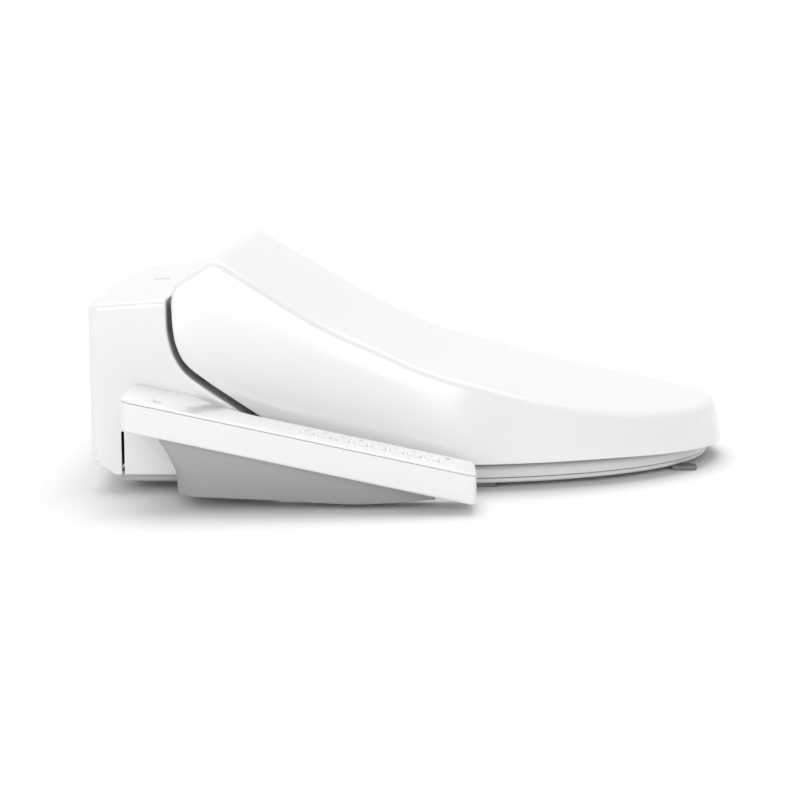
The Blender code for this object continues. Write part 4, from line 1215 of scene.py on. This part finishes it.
def symbol(number, x, y):
    """A generic mark for what a key does, as a list of closed shapes."""
    if number == 0:  # stop: a square
        return [rounded_rectangle((x - 0.002, y - 0.002), (x + 0.002, y + 0.002), 0.0005, 3)]
    if number == 1:  # rear wash: three crossed streams
        return [bar(x, y, 0.0036, QUARTER + turn) for turn in (-0.5, 0, 0.5)]
    if number == 2:  # front wash: an arc and a stream
        return [arc(x, y - 0.0004, 0.0022, 0.3, pi - 0.3), bar(x, y - 0.0006, 0.0022, QUARTER)]
    if number == 3:  # less: a minus
        return [bar(x, y, 0.0038)]
    if number == 4:  # more: a plus
        ends = (bar(x, y + dy, 0.0011, QUARTER) for dy in (0.0013, -0.0013))
        return [bar(x, y, 0.0038), *ends]
    if number == 5:  # warm air: three waves
        return [arc(x + dx, y, 0.002, -0.9, 0.9) for dx in (-0.0032, -0.0012, 0.0008)]
    if number == 6:  # forward: an arc over a line
        shoulders = radians(50), radians(130)
        return [arc(x, y - 0.0012, 0.0026, *shoulders), bar(x, y - 0.0008, 0.0026)]
    # power: an open ring with a stroke
    ends = radians(120), radians(420)
    return [arc(x, y, 0.0021, *ends), bar(x, y + 0.0018, 0.0018, QUARTER)]


def arm_keys():
    for number in range(KEY_COUNT):
        x, y = key_place(number)
        work = bmesh.new()
        add_prism(work, key_outline(x, y), -0.0034, KEY_TOP, "Z", 0.0005, 0, ARM)
        cap_faces = len(work.faces)
        for outline in symbol(number, x, y):
            mark(work, outline, KEY_TOP)
        for face in list(work.faces)[cap_faces:]:
            face.material_index = 1
        cap = object_from(f"arm_key_cap_{number + 1}", work)
        stand_for(cap, f"arm_key_{number + 1}", KEY_WHITE, PRINT)


def arm_legend():
    """Small raised symbols beside the keys: power ring, level bars and a row of dots."""
    shapes = [
        arc(-0.006, 0.248, 0.003, radians(125), radians(415), 0.0007),
        bar(-0.006, 0.2505, 0.0026, QUARTER, 0.0007),
    ]
    for k in range(3):
        shapes.append(bar(0.001, 0.215 + k * 0.0042, 0.011 - 0.002 * k, width=0.0011))
    for number in range(KEY_COUNT):
        x, y = key_place(number)
        shapes += [disc(x + aside, y, 0.00055, 14) for aside in (0.0115, 0.0145)]
    shapes.append(bar(-0.006, 0.015, 0.006, width=0.0006))
    work = bmesh.new()
    for outline in shapes:
        mark(work, outline, 0)
    legend = object_from("arm_legend", work)
    legend.data.materials.append(PRINT)
    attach(legend, "base")


HULL_UNDERSIDE = Profile([
    (-0.212, 0.0078), (-0.18, 0.0052), (-0.152, 0.0041), (-0.094, 0.0073), (-0.04, 0.0098),
    (0.01, 0.0125),
])
# where the housing's outer side ends and where its rear end stands, by height
HULL_SIDE_END = Profile(
    [(0.002, -0.029), (0.0115, -0.0288), (0.027, -0.022), (0.042, -0.013), (0.06, -0.004)]
)
HULL_REAR_END = Profile(
    [(0.002, -0.0135), (0.0115, -0.0135), (0.027, -0.013), (0.042, -0.008), (0.06, 0.003)]
)
HULL_OUTER_X = -0.262
HULL_INNER_X = -0.223
# the housing's outer side leans in below this height, by this much at the bottom
HULL_LEAN_TOP = 0.052
HULL_LEAN = 0.012
HULL_FRONT_Y = -0.212


def hull_loop(z):
    """The housing's section at a height, from its front along the side and around the rear."""
    side_end, rear_end = HULL_SIDE_END(z), HULL_REAR_END(z)
    root_x = -UNIT_HALF - 0.0003
    fall = min(1.0, max(0, (HULL_LEAN_TOP - z) / HULL_LEAN_TOP))
    outer_x = HULL_OUTER_X + HULL_LEAN * fall**1.6
    turn_x = outer_x + 0.02
    bulge = 0.0016
    points = [
        (outer_x + bulge * (1 - smoothstep(s * 5)), HULL_FRONT_Y + (side_end - HULL_FRONT_Y) * s)
        for s in spaced(0, 1.0, 26)[:-1]
    ]
    points += bezier((outer_x, side_end), (outer_x + 0.003, rear_end), (turn_x, rear_end), 12)
    points += [(x, rear_end) for x in spaced(turn_x, root_x, 8)[1:]]
    points += [(root_x, y) for y in spaced(rear_end, -0.055, 4)[1:]]
    points += bezier((root_x, -0.062), (root_x - 0.004, -0.08), (HULL_INNER_X, -0.092), 16)
    points += [(HULL_INNER_X, y) for y in spaced(-0.092, HULL_FRONT_Y, 10)[1:]]
    return [(x, y, z) for x, y in points[::-1]]


def arm_underside():
    """The housing below the arm: a smooth hull whose rear turns in to meet the unit's side."""
    rows = [hull_loop(z) for z in spaced(0.002, 0.06, 29)]
    housing = object_of("arm_underside", add_rows, rows, cap=True)
    slope = tan(ARM_SLOPE)
    under = ARM_DEPTH / cos(ARM_SLOPE) + 0.0006
    start, end = HULL_FRONT_Y - 0.001, 0.01
    outline = [(y, HULL_UNDERSIDE(y)) for y in spaced(start, end, 60)]
    outline += [(y, ARM_ORIGIN.z + (y - ARM_ORIGIN.y) * slope - under) for y in (end, start)]
    rows = [[(x, y, z) for y, z in outline] for x in (HULL_OUTER_X - 0.01, -UNIT_HALF + 0.01)]
    side = bmesh.new()
    add_rows(side, rows, cap=True)
    carve(housing, side, operation="INTERSECT")
    rim = {"width": 0.0009, "segments": 2, "limit_method": "ANGLE", "angle_limit": radians(50)}
    modify(housing, "BEVEL", **rim)
    # the housing's grey also carries painted shade for the shade under the arm
    stand_for(housing, "arm_bottom", HOUSING)


# ---- pieces that keep their CAD shape

CARRIED = {
    "heater_tank": NATURAL, "solenoid_valve": DARK, "water_pump": DARK, "power_supply": ZINC,
    "control_board": BOARD, "arm_board": BOARD, "rear_nozzle": TUBE_STEEL,
    "front_nozzle": TUBE_STEEL, "rear_nozzle_gear": NATURAL, "front_nozzle_gear": NATURAL,
    "rear_nozzle_motor": ZINC, "front_nozzle_motor": ZINC, "nozzle_housing": HOUSING,
    "fan_housing": DARK, "fan_impeller": HOUSING, "fan_motor": ZINC, "dryer_duct": DARK,
    "seat_heater": FILM,
}


def finish_carried():
    for node, made in CARRIED.items():
        mesh = frame["nodes"][node].data
        mesh.materials.clear()
        mesh.materials.append(made)


# ---- stage

# the surroundings' brightness: on the camera's side of the object, and on the far side
NEAR_GLOW = 0.42
FAR_GLOW = 0.95
# and where the camera sees them directly
SEEN_GLOW = 1.02
# the soft lights, as (name, power, how soft in degrees, direction towards the light)
SOFTBOXES = (
    ("overhead_softbox", 1.6, 58, (0.34, 0, 1.0)), ("side_softbox", 1.7, 45, (-1.0, 0.1, 0.28)),
)
# the camera looks along +X, a little down: degrees up from straight down
CAMERA_PLACE = (-1.6, -0.185, 0.2955)
CAMERA_TILT = 81.127
CAMERA_LENS = 81.0


def stage_floor():
    half = 12.0
    corners = [[(x, y, 0) for x in (-half, half)] for y in (-half, half)]
    floor = object_of("floor", add_rows, corners, closed=False)
    nodes = Nodes("studio_floor")
    tones = ((0.3, (0.838, 0.838, 0.838)), (0.7, (0.845, 0.845, 0.845)))
    made = nodes.finish(nodes.ramp(nodes.noise(3.0), *tones), None, Roughness=0.9)
    floor.data.materials.append(made)


def studio():
    """The floor, a dome that is brighter on the far side, the soft lights and the camera."""
    stage_floor()
    scene = bpy.context.scene
    world = bpy.data.worlds.new("studio")
    scene.world = world
    world.use_nodes = True
    tree = world.node_tree
    kinds = ("TexCoord", "SeparateXYZ", "MapRange", "LightPath", "Mix")
    direction, split, dome, seen, choose = (tree.nodes.new(f"ShaderNode{kind}") for kind in kinds)
    dome.interpolation_type = "SMOOTHSTEP"
    reach = (("From Min", -0.4), ("From Max", 0.6), ("To Min", NEAR_GLOW), ("To Max", FAR_GLOW))
    for name, value in reach:
        dome.inputs[name].default_value = value
    choose.inputs["B"].default_value = SEEN_GLOW
    background = tree.nodes["Background"]
    background.inputs["Color"].default_value = (1.0, 1.0, 1.0, 1.0)
    for source, target in (
        (direction.outputs["Generated"], split.inputs["Vector"]),
        (split.outputs["X"], dome.inputs["Value"]),
        (seen.outputs["Is Camera Ray"], choose.inputs["Factor"]),
        (dome.outputs["Result"], choose.inputs["A"]),
        (choose.outputs["Result"], background.inputs["Strength"]),
    ):
        tree.links.new(source, target)
    for name, power, soft, towards in SOFTBOXES:
        sun = bpy.data.lights.new(name, "SUN")
        sun.energy = power
        sun.angle = radians(soft)
        made = bpy.data.objects.new(name, sun)
        made.rotation_euler = Vector(towards).to_track_quat("Z", "Y").to_euler()
        scene.collection.objects.link(made)
    scene.view_settings.view_transform = "Standard"
    view = bpy.data.cameras.new("camera")
    view.lens = CAMERA_LENS
    view.sensor_width = 36.0
    view.clip_end = 60.0
    camera = bpy.data.objects.new("camera", view)
    camera.location = CAMERA_PLACE
    camera.rotation_euler = (radians(CAMERA_TILT), 0, -QUARTER)
    scene.collection.objects.link(camera)
    scene.camera = camera


# ---- assembly

for build in (
    lid_shell, lid_arms, lid_pads, seat_ring, seat_arms, seat_base, seat_pads, unit_cover,
    status_lens, unit_tray, tray_screws, bowl_plate, hinge_hardware, side_filter, push_button,
    inlet_spigot, gland_sleeve, flap_door, drain_cap, spray_tips, arm_body, arm_top, arm_keys,
    arm_legend, arm_underside, finish_carried, studio,
):
    build()
